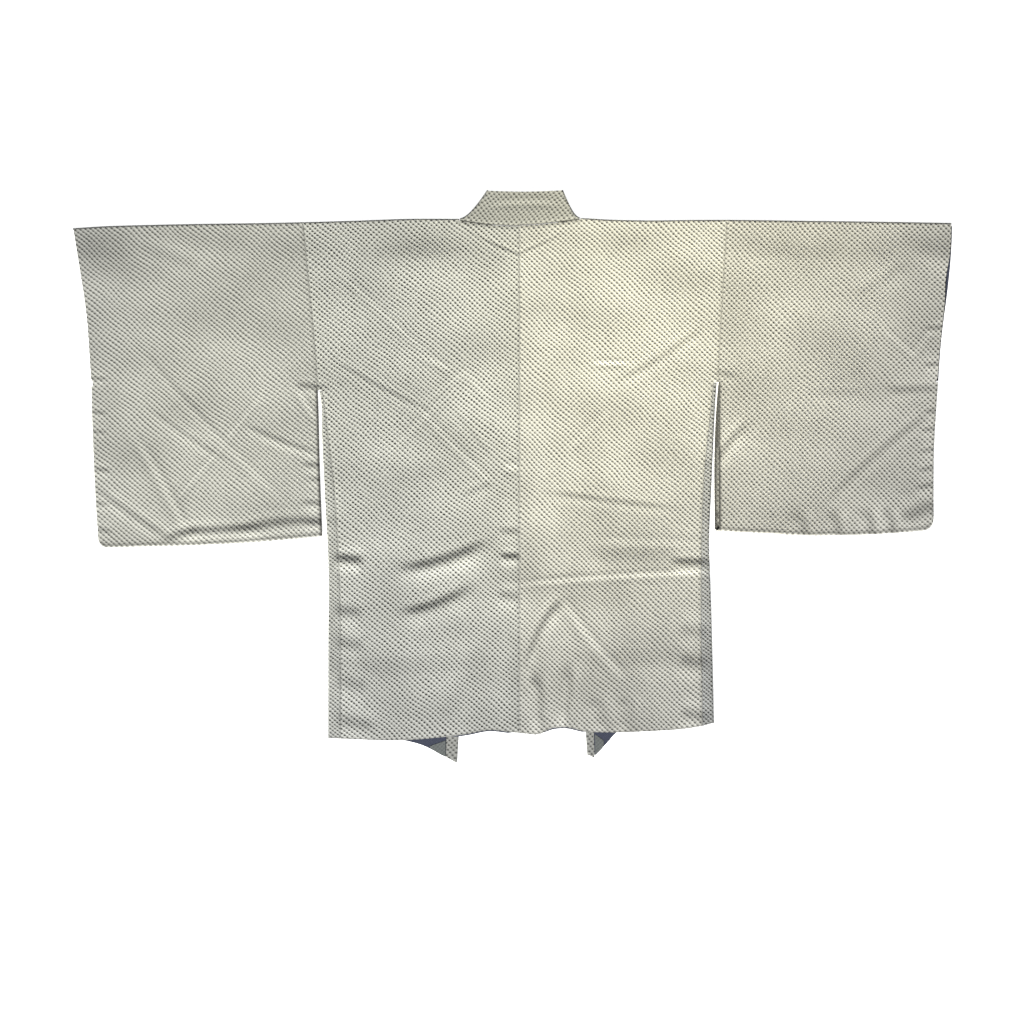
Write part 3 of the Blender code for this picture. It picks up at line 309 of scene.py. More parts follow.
# %% Large folds
# Each fold runs from (x0, d0) to (x1, d1), with "d" measured down from the shoulder line and its
# middle moved sideways by "bow". For someone who walks along it that way, a soft crest lies on the
# left hand and a trough on the right, and "wide" sets how far both reach. Negative heights change
# the two round. A trough of 0 leaves a plain ridge.
FOLDS = table(
    "x0 d0 x1 d1 bow crest trough wide",
    (-53, 478, -177, 512, -5, 2.72, 0.41, 19),    # deep pull across the left back
    (-58, 480, -172, 514, -5, 1.63, 1.5, 11),     # its sharp lower edge
    (-73, 545, -174, 580, -5, 2.38, 0.4, 18),     # the shorter pull beneath it
    (-79, 545, -171, 579, -5, 1.19, 1.25, 10),    # its sharp lower edge
    (-232, 503, -272, 499, 0, 2.88, 1.87, 11),    # puckers along the left side seam
    (-235, 580, -272, 576, 0, 1.86, 1.16, 14),
    (-233, 630, -270, 623, 0, 1.26, 0.84, 14),
    (-226, 690, -269, 681, 0, 1.5, 0.9, 16),
    (-215, 750, -269, 737, 0, 1.5, 1.1, 15),
    (-1, 460, -30, 460, 0, 0.92, 0.63, 9),        # puckers along the centre back seam
    (-1, 497, -27, 497, 0, 1.96, 1.4, 8),
    (-1, 558, -30, 554, 0, 1.01, 0.76, 11),
    (-1, 366, -23, 366, 0, -0.72, -0.56, 8),
    (-8, 734, -7, 601, 0, 0.24, 1.44, 12),
    (-29, 586, -106, 731, -4, 1.2, 1.1, 22),      # broad hollow above the left hem
    (32, 752, 32, 681, 0, 2.8, 1.7, 11),          # flutes of the hem
    (69, 749, 78, 663, 0, 3.4, 2.2, 11),
    (128, 752, 119, 710, 0, 1.28, 0.8, 14),
    (161, 755, 164, 710, 0, 1.28, 0.96, 14),
    (263, 164, 149, 235, -4, 0.78, 0.6, 8),       # slanting crease under the right shoulder blade
    (220, 425, 53, 404, 0, 0.64, 0.56, 7),        # level creases across the right back
    (208, 502, 101, 493, 0, 0.63, 0.52, 18),
    (276, 481, 119, 475, 0, -0.4, -0.35, 9),
    (279, 506, 226, 505, 0, 2.08, 1.43, 10),
    (285, 545, 7, 558, 3, 0.64, 0.0, 36),         # the long one, a low step
    (279, 521, 4, 539, 2, -0.48, -0.65, 6),       # its crisp edge
    (54, 567, 10, 657, 5, 3.8, 2.0, 9),           # an upturned V below it
    (152, 675, 64, 562, -4, -0.7, -0.75, 9),
    (7, 663, 16, 696, 0, 0.96, 0.8, 9),
    (279, 610, 238, 604, 0, 1.21, 0.88, 15),      # puckers along the right side seam
    (279, 657, 236, 651, 0, 1.5, 1.0, 15),
    (282, 737, 240, 728, 0, 1.6, 1.1, 14),
    (-426, 333, -548, 201, -2, 0.55, 0.2, 6),     # long slanting creases of the left sleeve
    (-436, 354, -544, 280, -2, 0.55, 0.25, 6),
    (-352, 417, -431, 336, 0, -0.35, -0.35, 8),
    (-494, 460, -571, 317, 3, -0.7, -0.8, 8),
    (-301, 343, -399, 306, -3, 0.99, 0.17, 6),
    (-381, 456, -505, 463, 2, 1.7, 1.1, 9),       # roll along its lower edge
    (-280, 444, -414, 454, 3, 1.7, 1.1, 11),
    (-473, 454, -529, 475, 0, 1.0, 0.7, 9),
    (-514, 472, -624, 398, -2, 0.85, 0.65, 8),
    (-286, 249, -328, 243, 0, 1.1, 0.7, 8),       # puckers at its inner edge
    (-286, 364, -320, 361, 0, 0.88, 0.66, 7),
    (-286, 385, -310, 383, 0, 0.55, 0.44, 6),
    (-286, 420, -319, 417, 0, 0.88, 0.66, 7),
    (-286, 448, -316, 447, 0, 0.66, 0.55, 7),
    (-301, 295, -328, 253, 0, -0.56, -0.64, 6),
    (-612, 235, -639, 234, 0, 0.6, 0.48, 5),      # puckers of its cuff edge
    (-612, 286, -637, 283, 0, 0.72, 0.54, 5),
    (-612, 314, -636, 312, 0, 0.54, 0.48, 5),
    (-606, 371, -634, 367, 0, 0.78, 0.6, 6),
    (-609, 422, -633, 416, 0, 0.72, 0.6, 6),
    (-603, 462, -630, 454, 0, 0.78, 0.6, 6),
    (605, 287, 458, 413, 6, 0.9, 0.72, 9),        # creases of the right sleeve
    (619, 249, 545, 252, 0, 0.83, 0.61, 10),
    (329, 305, 285, 361, 0, 2.0, 1.6, 9),
    (323, 231, 291, 225, 0, 0.6, 0.4, 8),
    (426, 485, 418, 435, 0, 1.5, 1.3, 13),        # puckers above its bottom seam
    (473, 485, 470, 435, 0, 1.7, 1.5, 11),
    (523, 485, 519, 432, 0, 1.9, 1.6, 11),
    (553, 485, 550, 432, 0, 1.9, 1.6, 10),
    (616, 420, 566, 441, 0, 2.0, 1.8, 16),
    (628, 158, 602, 161, 0, 0.72, 0.6, 6),        # puckers of its cuff edge
    (625, 212, 599, 215, 0, 0.72, 0.6, 6),
    (622, 280, 599, 284, 0, 0.6, 0.54, 6),
    (622, 306, 596, 312, 0, 0.72, 0.6, 6),
    (621, 336, 593, 343, 0, 0.6, 0.54, 6),
    (619, 364, 590, 371, 0, 0.72, 0.6, 6),
    (618, 389, 587, 397, 0, 0.6, 0.54, 6),
    (-85, 44, -399, 56, -2, 0.68, 0.0, 32),       # roll along the shoulders
    (-520, 62, -665, 71, 0, 1.2, 0.0, 34),
    (652, 107, 516, 38, 0, 1.7, 0.0, 34),
    (655, 62, 563, 15, 0, 1.2, 0.0, 20),
)

# The fold's section in widths of the fold, and how its ends fade in lengths of the fold.
CREST_AT, TROUGH_AT, TROUGH_WIDE = 0.55, 0.5, 0.8
FOLD_FADES = (-0.18, 0.25)


def fold_height(folds, x, down):
    """What the folds add: over each, a bell-shaped crest and beside it a narrower trough."""
    height = np.zeros(np.shape(x))
    for i in range(len(folds["x0"])):
        x0, d0, x1, d1, bow, crest, trough, wide = (column[i] for column in folds.values())
        length = math.hypot(x1 - x0, d1 - d0)
        run_x, run_d = (x1 - x0) / length, (d1 - d0) / length
        along = ((x - x0) * run_x + (down - d0) * run_d) / length
        below = (down - d0) * run_x - (x - x0) * run_d - 4 * bow * along * (1 - along)
        ends = ramp(*FOLD_FADES, along) * ramp(*FOLD_FADES, 1 - along)
        over = np.exp(-(below / wide + CREST_AT) ** 2)
        under = np.exp(-((below / wide - TROUGH_AT) / TROUGH_WIDE) ** 2)
        height = height + ends * (crest * over - trough * under)
    return height


print(len(FOLDS["x0"]), "folds")

# %% Faint creases
CREASES = table(
    "x0 d0 x1 d1 bow crest trough wide",
    (-141, 278, -266, 212, -2, 0.45, 0.45, 6),    # pressed across the left shoulder blade
    (-44, 385, -150, 275, -3, -0.35, -0.4, 6),
    (-109, 221, -272, 70, -3, -0.23, -0.23, 5),
    (-103, 221, -149, 200, 0, -0.36, -0.3, 6),
    (-45, 346, -95, 283, 0, 0.36, 0.36, 6),
    (-91, 243, -186, 337, 0, -0.28, -0.28, 6),
    (-78, 223, -131, 263, 0, -0.28, -0.28, 6),
    (-47, 263, -81, 223, 0, -0.24, -0.24, 6),
    (-106, 363, -180, 383, 0, 0.45, 0.45, 20),    # hollows beside the centre seam
    (-39, 388, -82, 406, 0, 0.4, 0.4, 8),
    (158, 212, 110, 212, 0, -0.72, -0.56, 5),     # across the right shoulder blade
    (132, 284, 72, 339, 0, -0.35, -0.28, 7),
    (-4, 50, -91, 7, -2, 0.64, 1.04, 4),          # allowances of the collar seam
    (75, 13, -1, 50, -1, 0.48, 0.88, 4),
    (-440, 336, -507, 413, 0, -0.38, -0.34, 5),   # left sleeve
    (-381, 258, -436, 329, 0, -0.38, -0.34, 5),
    (-482, 67, -565, 34, 0, 0.54, 0.6, 14),
    (504, 255, 436, 255, 0, 0.32, 0.32, 10),      # right sleeve
    (584, 201, 541, 164, 0, -0.32, -0.32, 6),
    (619, 151, 581, 201, 0, -0.48, -0.4, 6),
    (575, 61, 504, 110, 0, 0.42, 0.42, 12),
)

print(len(CREASES["x0"]), "creases")

# %% The slow swell, and all folds together
SWELLS = (     # wavelength in metres, heading in degrees, rise in millimetres, and where it starts
    (0.171, 74, 0.55, 0.4), (0.123, 118, 0.38, 2.1), (0.236, 22, 0.60, 3.9),
    (0.097, 52, 0.26, 5.2), (0.142, 150, 0.35, 1.3), (0.068, 96, 0.14, 0.8))
LOFT = 1.4 * MM               # how much the back floats up away from the shoulder fold
LOFT_GROWS = (8 * MM, 60 * MM)          # down: the folds grow away from the shoulder
FOLD_FLOOR = 0.6 * MM         # no trough sinks further than this below where the back rests
FOLD_SOFT = 0.5 * MM          # how gently a trough bottoms out


def swell(x, down):
    """The slow rise and fall of cloth that was smoothed by hand, as a few crossing waves."""
    height = np.zeros(np.shape(x))
    for length, heading, rise, start in SWELLS:
        heading = math.radians(heading)
        run = x * math.cos(heading) + down * math.sin(heading)
        height = height + rise * MM * np.sin(2 * math.pi * run / length + start)
    return height


def all_folds(x, down):
    """Large folds, faint creases and the slow swell together."""
    return fold_height(FOLDS, x, down) + fold_height(CREASES, x, down) + swell(x, down)


def back_height(x, down):
    """Middle of the back and of the sleeves' upper layer."""
    rest = resting_height(x, down)
    lifted = (LOFT + all_folds(x, down)) * ramp(*LOFT_GROWS, down)
    return rest - FOLD_FLOOR + FOLD_SOFT * np.logaddexp(0, (lifted + FOLD_FLOOR) / FOLD_SOFT)


print(f"back at mid height, with its folds: {back_height(-0.1, 0.4) / MM:.1f} mm")

# %% [markdown]
# ## Where the dots lie
# This silk was pinched into thousands of tiny tufts, each bound with thread, and then dyed. When
# the threads come off, each tuft leaves a small raised bump with a dark dot on its tip. The tufts
# stand in slanting rows, a little differently on each panel. One pair of repeat lengths for each
# panel, across and down, describes the rows; and a slow drift keeps them from looking printed.

# %% Rows of dots, panel by panel
ROWS = {     # one repeat across, one down, both as (x, down), and how far bumps join to ridges
    "body_left": ((7.65, -0.95), (0.25, 7.42), 0.16),
    "body_right": ((7.60, -0.55), (-0.10, 7.45), 0.24),
    "sleeve_left": ((7.80, -0.55), (0.55, 7.50), 0.34),
    "sleeve_right": ((7.65, -0.15), (-0.45, 7.45), 0.06),
    "gusset_left": ((6.80, -0.50), (0.00, 6.20), 0.20),
    "gusset_right": ((6.80, -0.50), (0.00, 6.20), 0.20),
    "collar": ((7.60, 0.20), (-1.50, 7.40), 0.00),
    "lining": ((6.00, 0.00), (0.00, 6.00), 0.00),
}
DRIFTS = (     # wavelength, heading in degrees, size, and where it starts
    (118, 25, 0.75, 0.4), (83, 110, 0.55, 2.9), (61, 160, 0.40, 5.1), (44, 70, 0.25, 1.7))
DRIFT_TWIST = 1.3             # how much quicker they stray up and down than sideways


class Rows:
    """The tied rows of one panel: turns places on the cloth into repeats of the rows, and back."""

    def __init__(self, panel):
        across, down, self.ridged = ROWS[panel]
        self.repeat = np.array([[across[0], down[0]], [-across[1], -down[1]]]) * MM

    def drift(self, places):
        """How far the rows stray from straight."""
        stray = np.zeros_like(places)
        for length, angle, size, start in DRIFTS:
            turn = math.radians(angle)
            along = places @ [math.cos(turn), math.sin(turn)] / (length * MM)
            wave = 2 * math.pi * along + start
            stray += size * MM * np.column_stack([np.sin(wave), np.cos(DRIFT_TWIST * wave)])
        return stray

    def repeats(self, places):
        return (places + self.drift(places)) @ np.linalg.inv(self.repeat).T

    def places(self, repeats):
        straight = repeats @ self.repeat.T
        return straight - self.drift(straight)


print("rows of dots on", len(ROWS), "panels")

# %% [markdown]
# ## A wall of cloth
# Each panel is one closed shell: the silk outside, the lining behind it. A grid of faces bends
# badly round rounded corners, so each layer is triangulated inside its outline instead. The upper
# side has its points on the rows of dots, four to a repeat, so each bump is real shape in the
# mesh. What lies underneath is made coarser. A fold joins two layers by a half-round strip. A
# number at each point says how much painted shade the cloth gets where it dips into a seam, turns
# in at an edge or ends at a hem.

# %% The tied bumps
BUMP = 0.38 * MM              # how high they stand


def bumps(repeats, ridged):
    """Height of the bumps: a round one under each dot, or ridges that slant down to the right."""
    turn = 2 * math.pi * repeats
    rounded = (1 + np.cos(turn[..., 0]) * np.cos(turn[..., 1])) / 2
    ridges = (1 + np.cos(turn[..., 0] - turn[..., 1])) / 2
    return BUMP * between(rounded, ridges, ridged)


print(f"halfway between two dots: {bumps(np.array([0.5, 0.0]), 0.5) / MM:.2f} mm")

# %% Points and faces
EDGE_STEP = 2.2 * MM          # between points along an outline
UNDER_STEP = 4.6 * MM         # between points on a layer that faces the table
INNER_STEP = 8 * MM           # and on the lining side
DOT_STEP = 0.25               # between points on a tied layer, in repeats of the rows
CLEAR_OF_EDGE = 0.45          # in steps: how near an outline a point may lie
UP = np.array([0.0, 0.0, 1.0])


def steps(start, end, step=EDGE_STEP):
    """Evenly spaced values from start to end, about a step apart."""
    return np.linspace(start, end, max(2, math.ceil(abs(end - start) / step) + 1))


def square_grid(rim, step):
    """Evenly spread places over the box of a rim."""
    (left, low), (right, high) = rim.min(0), rim.max(0)
    return np.stack(np.meshgrid(np.arange(left + step / 2, right, step),
                                np.arange(low + step / 2, high, step)), -1).reshape(-1, 2)


def nearest(points, others):
    """Distance on the table from each point to the nearest of the others."""
    tree = kdtree.KDTree(len(others))
    for number, (x, y) in enumerate(others):
        tree.insert((x, y, 0), number)
    tree.balance()
    return np.array([tree.find((x, y, 0))[2] for x, y in points])


def strips(grid):
    """Two triangles for each cell of a grid of point numbers."""
    a, b, c, d = grid[:-1, :-1], grid[:-1, 1:], grid[1:, 1:], grid[1:, :-1]
    return np.concatenate([np.stack([a, b, c], -1).reshape(-1, 3),
                           np.stack([a, c, d], -1).reshape(-1, 3)])


def open_rim(faces, count):
    """Faces from the open edges of the outer side down to the same points of the inner side."""
    sides = np.concatenate([faces[:, [k, (k + 1) % 3]] for k in range(3)])
    open_sides = sides[~np.isin(sides @ [count, 1], sides @ [1, count])]
    a, b = open_sides[:, 0], open_sides[:, 1]
    return np.concatenate([np.stack([b, a, a + count], -1),
                           np.stack([b, a + count, b + count], -1)])


print(len(steps(0, 1)), "points along a metre of outline")

# %% The middle surface of a panel
SAME_POINT = 1e-9             # points that lie closer than this are one


class Surface:
    """The middle surface of one piece, and the faces of its outer and its inner side."""

    def __init__(self, panel):
        self.name, self.rows = panel + "_cloth", Rows(panel if panel in ROWS else "lining")
        self.points, self.outward = np.empty((0, 3)), np.empty((0, 3))
        # the seam numbers are painted shade, one at each point
        self.lift, self.seam = np.empty(0), np.empty(0)
        self.outer, self.outer_uv, self.inner = [], [], []

    def add(self, points, outward, lift=0.0):
        """Add points and return their numbers."""
        first = len(self.points)
        self.points = np.vstack([self.points, points])
        self.outward = np.vstack([self.outward, np.broadcast_to(outward, points.shape)])
        self.lift = np.append(self.lift, np.broadcast_to(lift, len(points)))
        self.seam = np.append(self.seam, np.zeros(len(points)))
        return np.arange(first, len(self.points))

    def outline(self, paths, height, outward):
        """Add paths that follow on each other round a layer, and return each one's points."""
        joined = np.concatenate([path[:-1] for path in paths])
        numbers = self.add(raised(joined, height(joined)), outward)
        ends = np.cumsum([len(path) - 1 for path in paths])
        return [np.append(numbers[end - len(path) + 1:end], numbers[end % len(numbers)])
                for path, end in zip(paths, ends)]

    def fill(self, loop, inside, height, outward):
        """Triangles inside a loop of points, over new points inside it."""
        new = self.add(raised(inside, height(inside)), outward)
        numbers = np.concatenate([loop, new])
        corners = [Vector(place) for place in self.points[numbers, :2]]
        edges = [(i, (i + 1) % len(loop)) for i in range(len(loop))]
        found = geometry.delaunay_2d_cdt(corners, edges, [], 1, SAME_POINT)
        sources = np.array([source[0] if source else -1 for source in found[3]])
        faces = sources[np.array(found[2])]
        return numbers[faces[(faces >= 0).all(axis=1)]], new

    def faced(self, faces, uv):
        """Turn each triangle so that it looks the way its points face."""
        a, b, c = (self.points[faces[:, k]] for k in range(3))
        looks = np.einsum("ij,ij->i", np.cross(b - a, c - a), self.outward[faces].sum(axis=1))
        wrong = looks < 0
        faces, uv = faces.copy(), np.broadcast_to(uv, (len(faces), 3, 2)).copy()
        faces[wrong], uv[wrong] = faces[wrong][:, ::-1], uv[wrong][:, ::-1]
        return faces, uv


print("first class:", Surface.__name__)

# %% Its layers and the folds that join them
SEAM_DIP = 0.45 * MM          # how much thinner the cloth is pressed along a seam
SEAM_WIDTH = 2.6 * MM
# The line where two panels meet is painted shade: the cloth's colour is darkened along it.
SEAM_LINE = 1.2 * MM          # half the width of the line where two panels meet
SEAM_SHADE = 0.38              # how dark that line is
BUMPS_FADE = (0.4 * MM, 5 * MM)         # from a seam: the bumps come back
ROLL_STEPS = 8                # round half a fold


class Layers(Surface):
    """Layers that lie over each other, joined by half-round folds."""

    def layer(self, loop, height, outward, flat=lambda places: places, tied=True, sewn=(),
              dark=SEAM_SHADE):
        """Fill a layer on both sides. `flat` unfolds places to where they lie on the flat panel.

        Sewn paths press the cloth thin and get a line of painted shade as dark as `dark`.
        """
        loop = np.concatenate([path[:-1] for path in loop])
        rim = self.points[loop, :2]
        if tied:
            low, high = self.rows.repeats(rim).min(0), self.rows.repeats(rim).max(0)
            u, v = (np.arange(math.ceil(a / DOT_STEP), b / DOT_STEP) * DOT_STEP
                    for a, b in zip(low, high))
            inside = self.rows.places(np.stack(np.meshgrid(u, v), -1).reshape(-1, 2))
            step = DOT_STEP * self.rows.repeat[0, 0]
        else:
            inside, step = square_grid(rim, UNDER_STEP), UNDER_STEP
        inside = inside[nearest(inside, rim) > CLEAR_OF_EDGE * step]
        faces, new = self.fill(loop, inside, height, outward)
        everything = np.concatenate([loop, new])
        repeats = np.zeros((len(self.points), 2))
        repeats[everything] = self.rows.repeats(flat(self.points[everything, :2]))
        if tied:
            self.lift[everything] = bumps(repeats[everything], self.rows.ridged)
        if tied and len(sewn):
            away = nearest(self.points[everything, :2], self.points[np.concatenate(sewn), :2])
            self.lift[everything] *= ramp(*BUMPS_FADE, away)
            self.lift[everything] -= SEAM_DIP * np.exp(-(away / SEAM_WIDTH) ** 2)
            # painted shade along the sewn paths
            self.seam[everything] = dark * np.exp(-(away / SEAM_LINE) ** 2)
        self.outer.append(faces)
        self.outer_uv.append(repeats[faces])
        inside = square_grid(rim, INNER_STEP)
        inside = inside[nearest(inside, rim) > CLEAR_OF_EDGE * INNER_STEP]
        self.inner.append(self.fill(loop, inside, height, outward)[0])

    def shade(self, path, dark, wide):
        """Paint shade into a strip along an edge that is turned in or ends at a hem."""
        away = nearest(self.points[:, :2], self.points[path, :2])
        self.seam = np.maximum(self.seam, dark * np.exp(-(away / wide) ** 2))

    def roll(self, upper, lower, away, side_out=1):
        """Join two edges that lie over each other by a half-round fold that bulges `away`."""
        top, low = self.points[upper], self.points[lower]
        radius = (top[:, 2:] - low[:, 2:]) / 2
        lines, repeats = [upper], [self.rows.repeats(top[:, :2])]
        for step in range(1, ROLL_STEPS + 1):
            angle = math.pi * step / ROLL_STEPS
            repeats.append(self.rows.repeats(top[:, :2] + away * radius * angle))
            if step == ROLL_STEPS:
                break
            middle = between(top, low, step / ROLL_STEPS)
            middle[:, 2:] = (top[:, 2:] + low[:, 2:]) / 2
            outwards = np.column_stack([away * math.sin(angle),
                                        np.full(len(away), math.cos(angle))])
            lift = bumps(repeats[-1], self.rows.ridged) * max(math.cos(angle), 0) ** 2
            lines.append(self.add(middle + radius * outwards, outwards * side_out,
                                  lift if side_out > 0 else 0.0))
        grid = np.array(lines + [lower])
        faces = strips(np.arange(grid.size).reshape(grid.shape))
        self.outer.append(grid.reshape(-1)[faces])
        self.outer_uv.append(np.array(repeats).reshape(-1, 2)[faces])
        self.inner.append(grid.reshape(-1)[faces])


print(f"along a seam the cloth is {(CLOTH - SEAM_DIP) / MM:.2f} mm thick")

# %% The closed shell
SHARP = math.radians(55)      # an edge between faces that turn more than this stays sharp


class Cloth(Layers):
    """One piece of cloth with its thickness."""

    def solid(self, thickness, finishes, turned_in=lambda places: places[:, 0] < -np.inf):
        """Give the surface its thickness and make it one closed object.

        Its inner side has the last finish, and the first where the shell is turned in.
        """
        outer, outer_uv = self.faced(np.concatenate(self.outer), np.concatenate(self.outer_uv))
        inner, _ = self.faced(np.concatenate(self.inner), np.zeros((1, 3, 2)))
        count = len(self.points)
        corners = np.vstack([
            self.points + self.outward * (thickness / 2 + self.lift[:, None]),
            self.points - self.outward * thickness / 2])
        rim = open_rim(outer, count)
        faces = np.concatenate([outer, rim, inner[:, ::-1] + count])
        places = (corners[faces[len(outer):] % count, :2]).reshape(-1, 2)
        uv = np.concatenate([outer_uv.reshape(-1, 2), self.rows.repeats(places)])
        kept, faces = np.unique(faces, return_inverse=True)
        mesh = bpy.data.meshes.new(self.name)
        mesh.from_pydata((corners[kept] + [centre_x, shoulder_y, 0]).tolist(), [],
                         faces.reshape(-1, 3).tolist())
        mesh.uv_layers.new(name="cloth").data.foreach_set("uv", uv.reshape(-1))
        # the painted shade at each point goes into the mesh as its seam attribute
        seam = mesh.attributes.new("seam", "FLOAT", "POINT")
        seam.data.foreach_set("value", self.seam[kept % count].astype(np.float32))
        for finish in finishes:
            mesh.materials.append(finish)
        lined = ~turned_in(self.points[inner, :2].mean(axis=1))
        worn = np.concatenate([np.zeros(len(outer) + len(rim)), lined * (len(finishes) - 1)])
        mesh.polygons.foreach_set("material_index", worn.astype(np.int32))
        mesh.shade_smooth()
        mesh.set_sharp_from_angle(angle=SHARP)
        piece = bpy.data.objects.new(self.name, mesh)
        bpy.context.scene.collection.objects.link(piece)
        print(f"{self.name}: {len(mesh.polygons)} triangles")
        return piece


print("each class stands on the one before it:", [kind.__name__ for kind in Cloth.mro()[:3]])

# %% [markdown]
# ## The body
# Each half of the body is a single length of silk: up the back, over the shoulder and down the
# front. It could be two flat sheets set over each other, but then the shoulder would be open. So
# the back and the front are two layers of one shell, joined by the shoulder fold. The edges
# follow the seams; the hem and the side are left as edges of the wall.

# %% Left and right, levels and facings
def mirrored(points, side):
    """Points given for the wearer's right, turned to either side."""
    return points * np.array([SIGN[side], 1])


def on_side(paths, side):
    """The same for several paths."""
    return [mirrored(path, side) for path in paths]


def over_back(places):
    """Middle of the upper layer over places on the table."""
    return back_height(places[:, 0], -places[:, 1])


def over_front(side):
    """The same for a front."""
    return lambda places: front_height(side, places[:, 0] * SIGN[side], -places[:, 1])


def level(height):
    """The same for a layer that lies flat at one height."""
    return lambda places: np.full(len(places), height)


def unfolded(places):
    """Where a place on a lower layer lies once the shoulder fold is opened out."""
    return places * [1, -1]


def facing(x, y, path):
    """One direction on the table for all points of a path."""
    return np.tile([float(x), float(y)], (len(path), 1))


print("a point of the right side, turned to the left:", mirrored(np.array([1.0, 2.0]), "left"))

# %% Edges of a body half
ARMHOLE_END = {"left": 252 * MM, "right": 240 * MM}
SIDE_HEM = 765 * MM           # how far down the side seams end
COLLAR_HEM = 793 * MM         # how far down the collar seams end
NECK_POINT = {"left": 89 * MM, "right": 90 * MM}
NECK_DEPTH = 8.5 * MM         # how far the back neck dips below the shoulder line
NECK_EASES = (0, 30 * MM)     # down: the collar seam leaves the shoulder
SEAM_JOG = 1 * MM             # between the armhole's end and the gusset's top


def shoulder_line(side, out):
    """How far down the upper layer's straight part starts, just inside the shoulder fold."""
    radius = (BACK_LEVEL - FRONT_LEVEL) / 2
    return radius + CLOTH / 2 - follow(SHOULDER[side], "out", "rise", out)


def neck_line(side, out):
    """The back neck seam and the shoulder fold as one line, as "down"."""
    dip = NECK_DEPTH * np.clip(1 - (out / NECK_POINT[side]) ** 2, 0, None)
    return shoulder_line(side, out) + dip


def body_edge(side, down, layer):
    """Outer edge of the back or of a front: the armhole, then the gusset's seam."""
    armhole = out_at(SLEEVE_INNER, side, down) - TIGHT_GAP
    gusset = follow(GUSSET_SEAM[side], "down", layer, down)
    return np.where(down <= ARMHOLE_END[side] + SEAM_GAP / 2, armhole, gusset)


def body_side(side, top, hem, layer):
    """The side from its top corner to the hem, with a step where armhole and gusset meet."""
    end = ARMHOLE_END[side]
    down = np.concatenate([steps(-top[1], end), steps(end + SEAM_JOG, -hem[1])])
    edge = plan(body_edge(side, down, layer), down)
    edge[0], edge[-1] = top, hem
    return edge


def back_outline(side):
    """Neck, shoulder, side, hem and centre seam of one half of the back."""
    centre, neck = TIGHT_GAP / 2, NECK_POINT[side]
    wide = body_edge(side, 0.0, "back")
    across = [steps(centre, neck), steps(neck, wide)]
    top = [plan(out, neck_line(side, out)) for out in across]
    out = steps(body_edge(side, SIDE_HEM, "back"), centre)
    hem = plan(out, back_hem(out * SIGN[side]))
    seam = plan(centre, steps(-hem[-1, 1], -top[0][0, 1]))
    return [*top, body_side(side, top[1][-1], hem[0], "back"), hem, seam]


def front_outline(side, shoulder):
    """Shoulder, side, hem and collar seam of a front."""
    out = steps(body_edge(side, SIDE_HEM, "front"),
                out_at(COLLAR_SEAM, side, COLLAR_HEM) + SEAM_GAP)
    hem = plan(out, down_at(FRONT_HEM, side, out))
    down = steps(-hem[-1, 1], -shoulder[0, 1])
    out = out_at(COLLAR_SEAM, side, down) + SEAM_GAP
    seam = plan(between(shoulder[0, 0], out, ramp(*NECK_EASES, down)), down)
    seam[0] = hem[-1]
    return [shoulder, body_side(side, shoulder[-1], hem[0], "front"), hem, seam]


print("a back's outline has", sum(len(path) - 1 for path in back_outline("left")), "points")

# %% Sew the two halves of the body
# a hem's edge gets a strip of painted shade
LOW_EDGE_SHADE = 0.62, 3.4 * MM     # how dark a hem's edge is, and half the width of its dark strip


def make_body(side, finishes):
    cloth = Cloth("body_" + side)
    edges = back_outline(side)
    back = cloth.outline(on_side(edges, side), over_back, UP)
    cloth.layer(back, over_back, UP, sewn=[back[0], back[2], back[3], back[4]])
    front = cloth.outline(on_side(front_outline(side, edges[1]), side), over_front(side), -UP)
    cloth.layer(front, over_front(side), -UP, flat=unfolded, tied=False)
    cloth.roll(back[1], front[0], facing(0, 1, front[0]))
    # painted shade along the back's hem
    cloth.shade(back[3], *LOW_EDGE_SHADE)
    return cloth.solid(CLOTH, finishes)

# %% [markdown]
# ## The sleeves
# A haori sleeve is a flat bag: one length folded along the shoulder, sewn below and part of the
# way up the cuff, with a rounded lower corner. It is open towards the body below the armhole. The
# same two layers do again, and a second half-round fold closes the cuff's lower part, the corner
# and the bottom in one run, as the real seam does.

# %% Edges of a sleeve
SLEEVE_DEPTH = 470 * MM
CUFF_CORNER = {"left": 15 * MM, "right": 17 * MM}


def into_corner(start, end, fractions, radius, straight, bend):
    """Along an edge and halfway round the corner at its end: along it, beside it, and turned."""
    eighth = math.pi / 4
    along = start + fractions * (end - start + radius * eighth)
    angle = np.clip((along - end) / radius, 0, eighth)
    beside = np.where(along < end, straight(along), bend + radius * np.cos(angle))
    return np.minimum(along, end) + radius * np.sin(angle), beside, angle


def sleeve_outline(side, rows, across):
    """Cuff edge and bottom edge down to the middle of their rounded corner, facing outwards."""
    radius = CUFF_CORNER[side]
    bottom_out = out_at(CUFF_EDGE, side, SLEEVE_DEPTH)
    centre_out = bottom_out - radius
    centre_down = down_at(SLEEVE_BOTTOM, side, centre_out) - radius
    down, out, angle = into_corner(
        -follow(SHOULDER[side], "out", "rise", bottom_out), centre_down, rows, radius,
        lambda down: out_at(CUFF_EDGE, side, down), out_at(CUFF_EDGE, side, centre_down) - radius)
    cuff = plan(out, down), np.column_stack([np.cos(angle), -np.sin(angle)])
    out, down, angle = into_corner(
        out_at(SLEEVE_INNER, side, SLEEVE_DEPTH), centre_out, across, radius,
        lambda out: down_at(SLEEVE_BOTTOM, side, out), centre_down)
    return cuff, (plan(out, down), np.column_stack([np.sin(angle), -np.cos(angle)]))


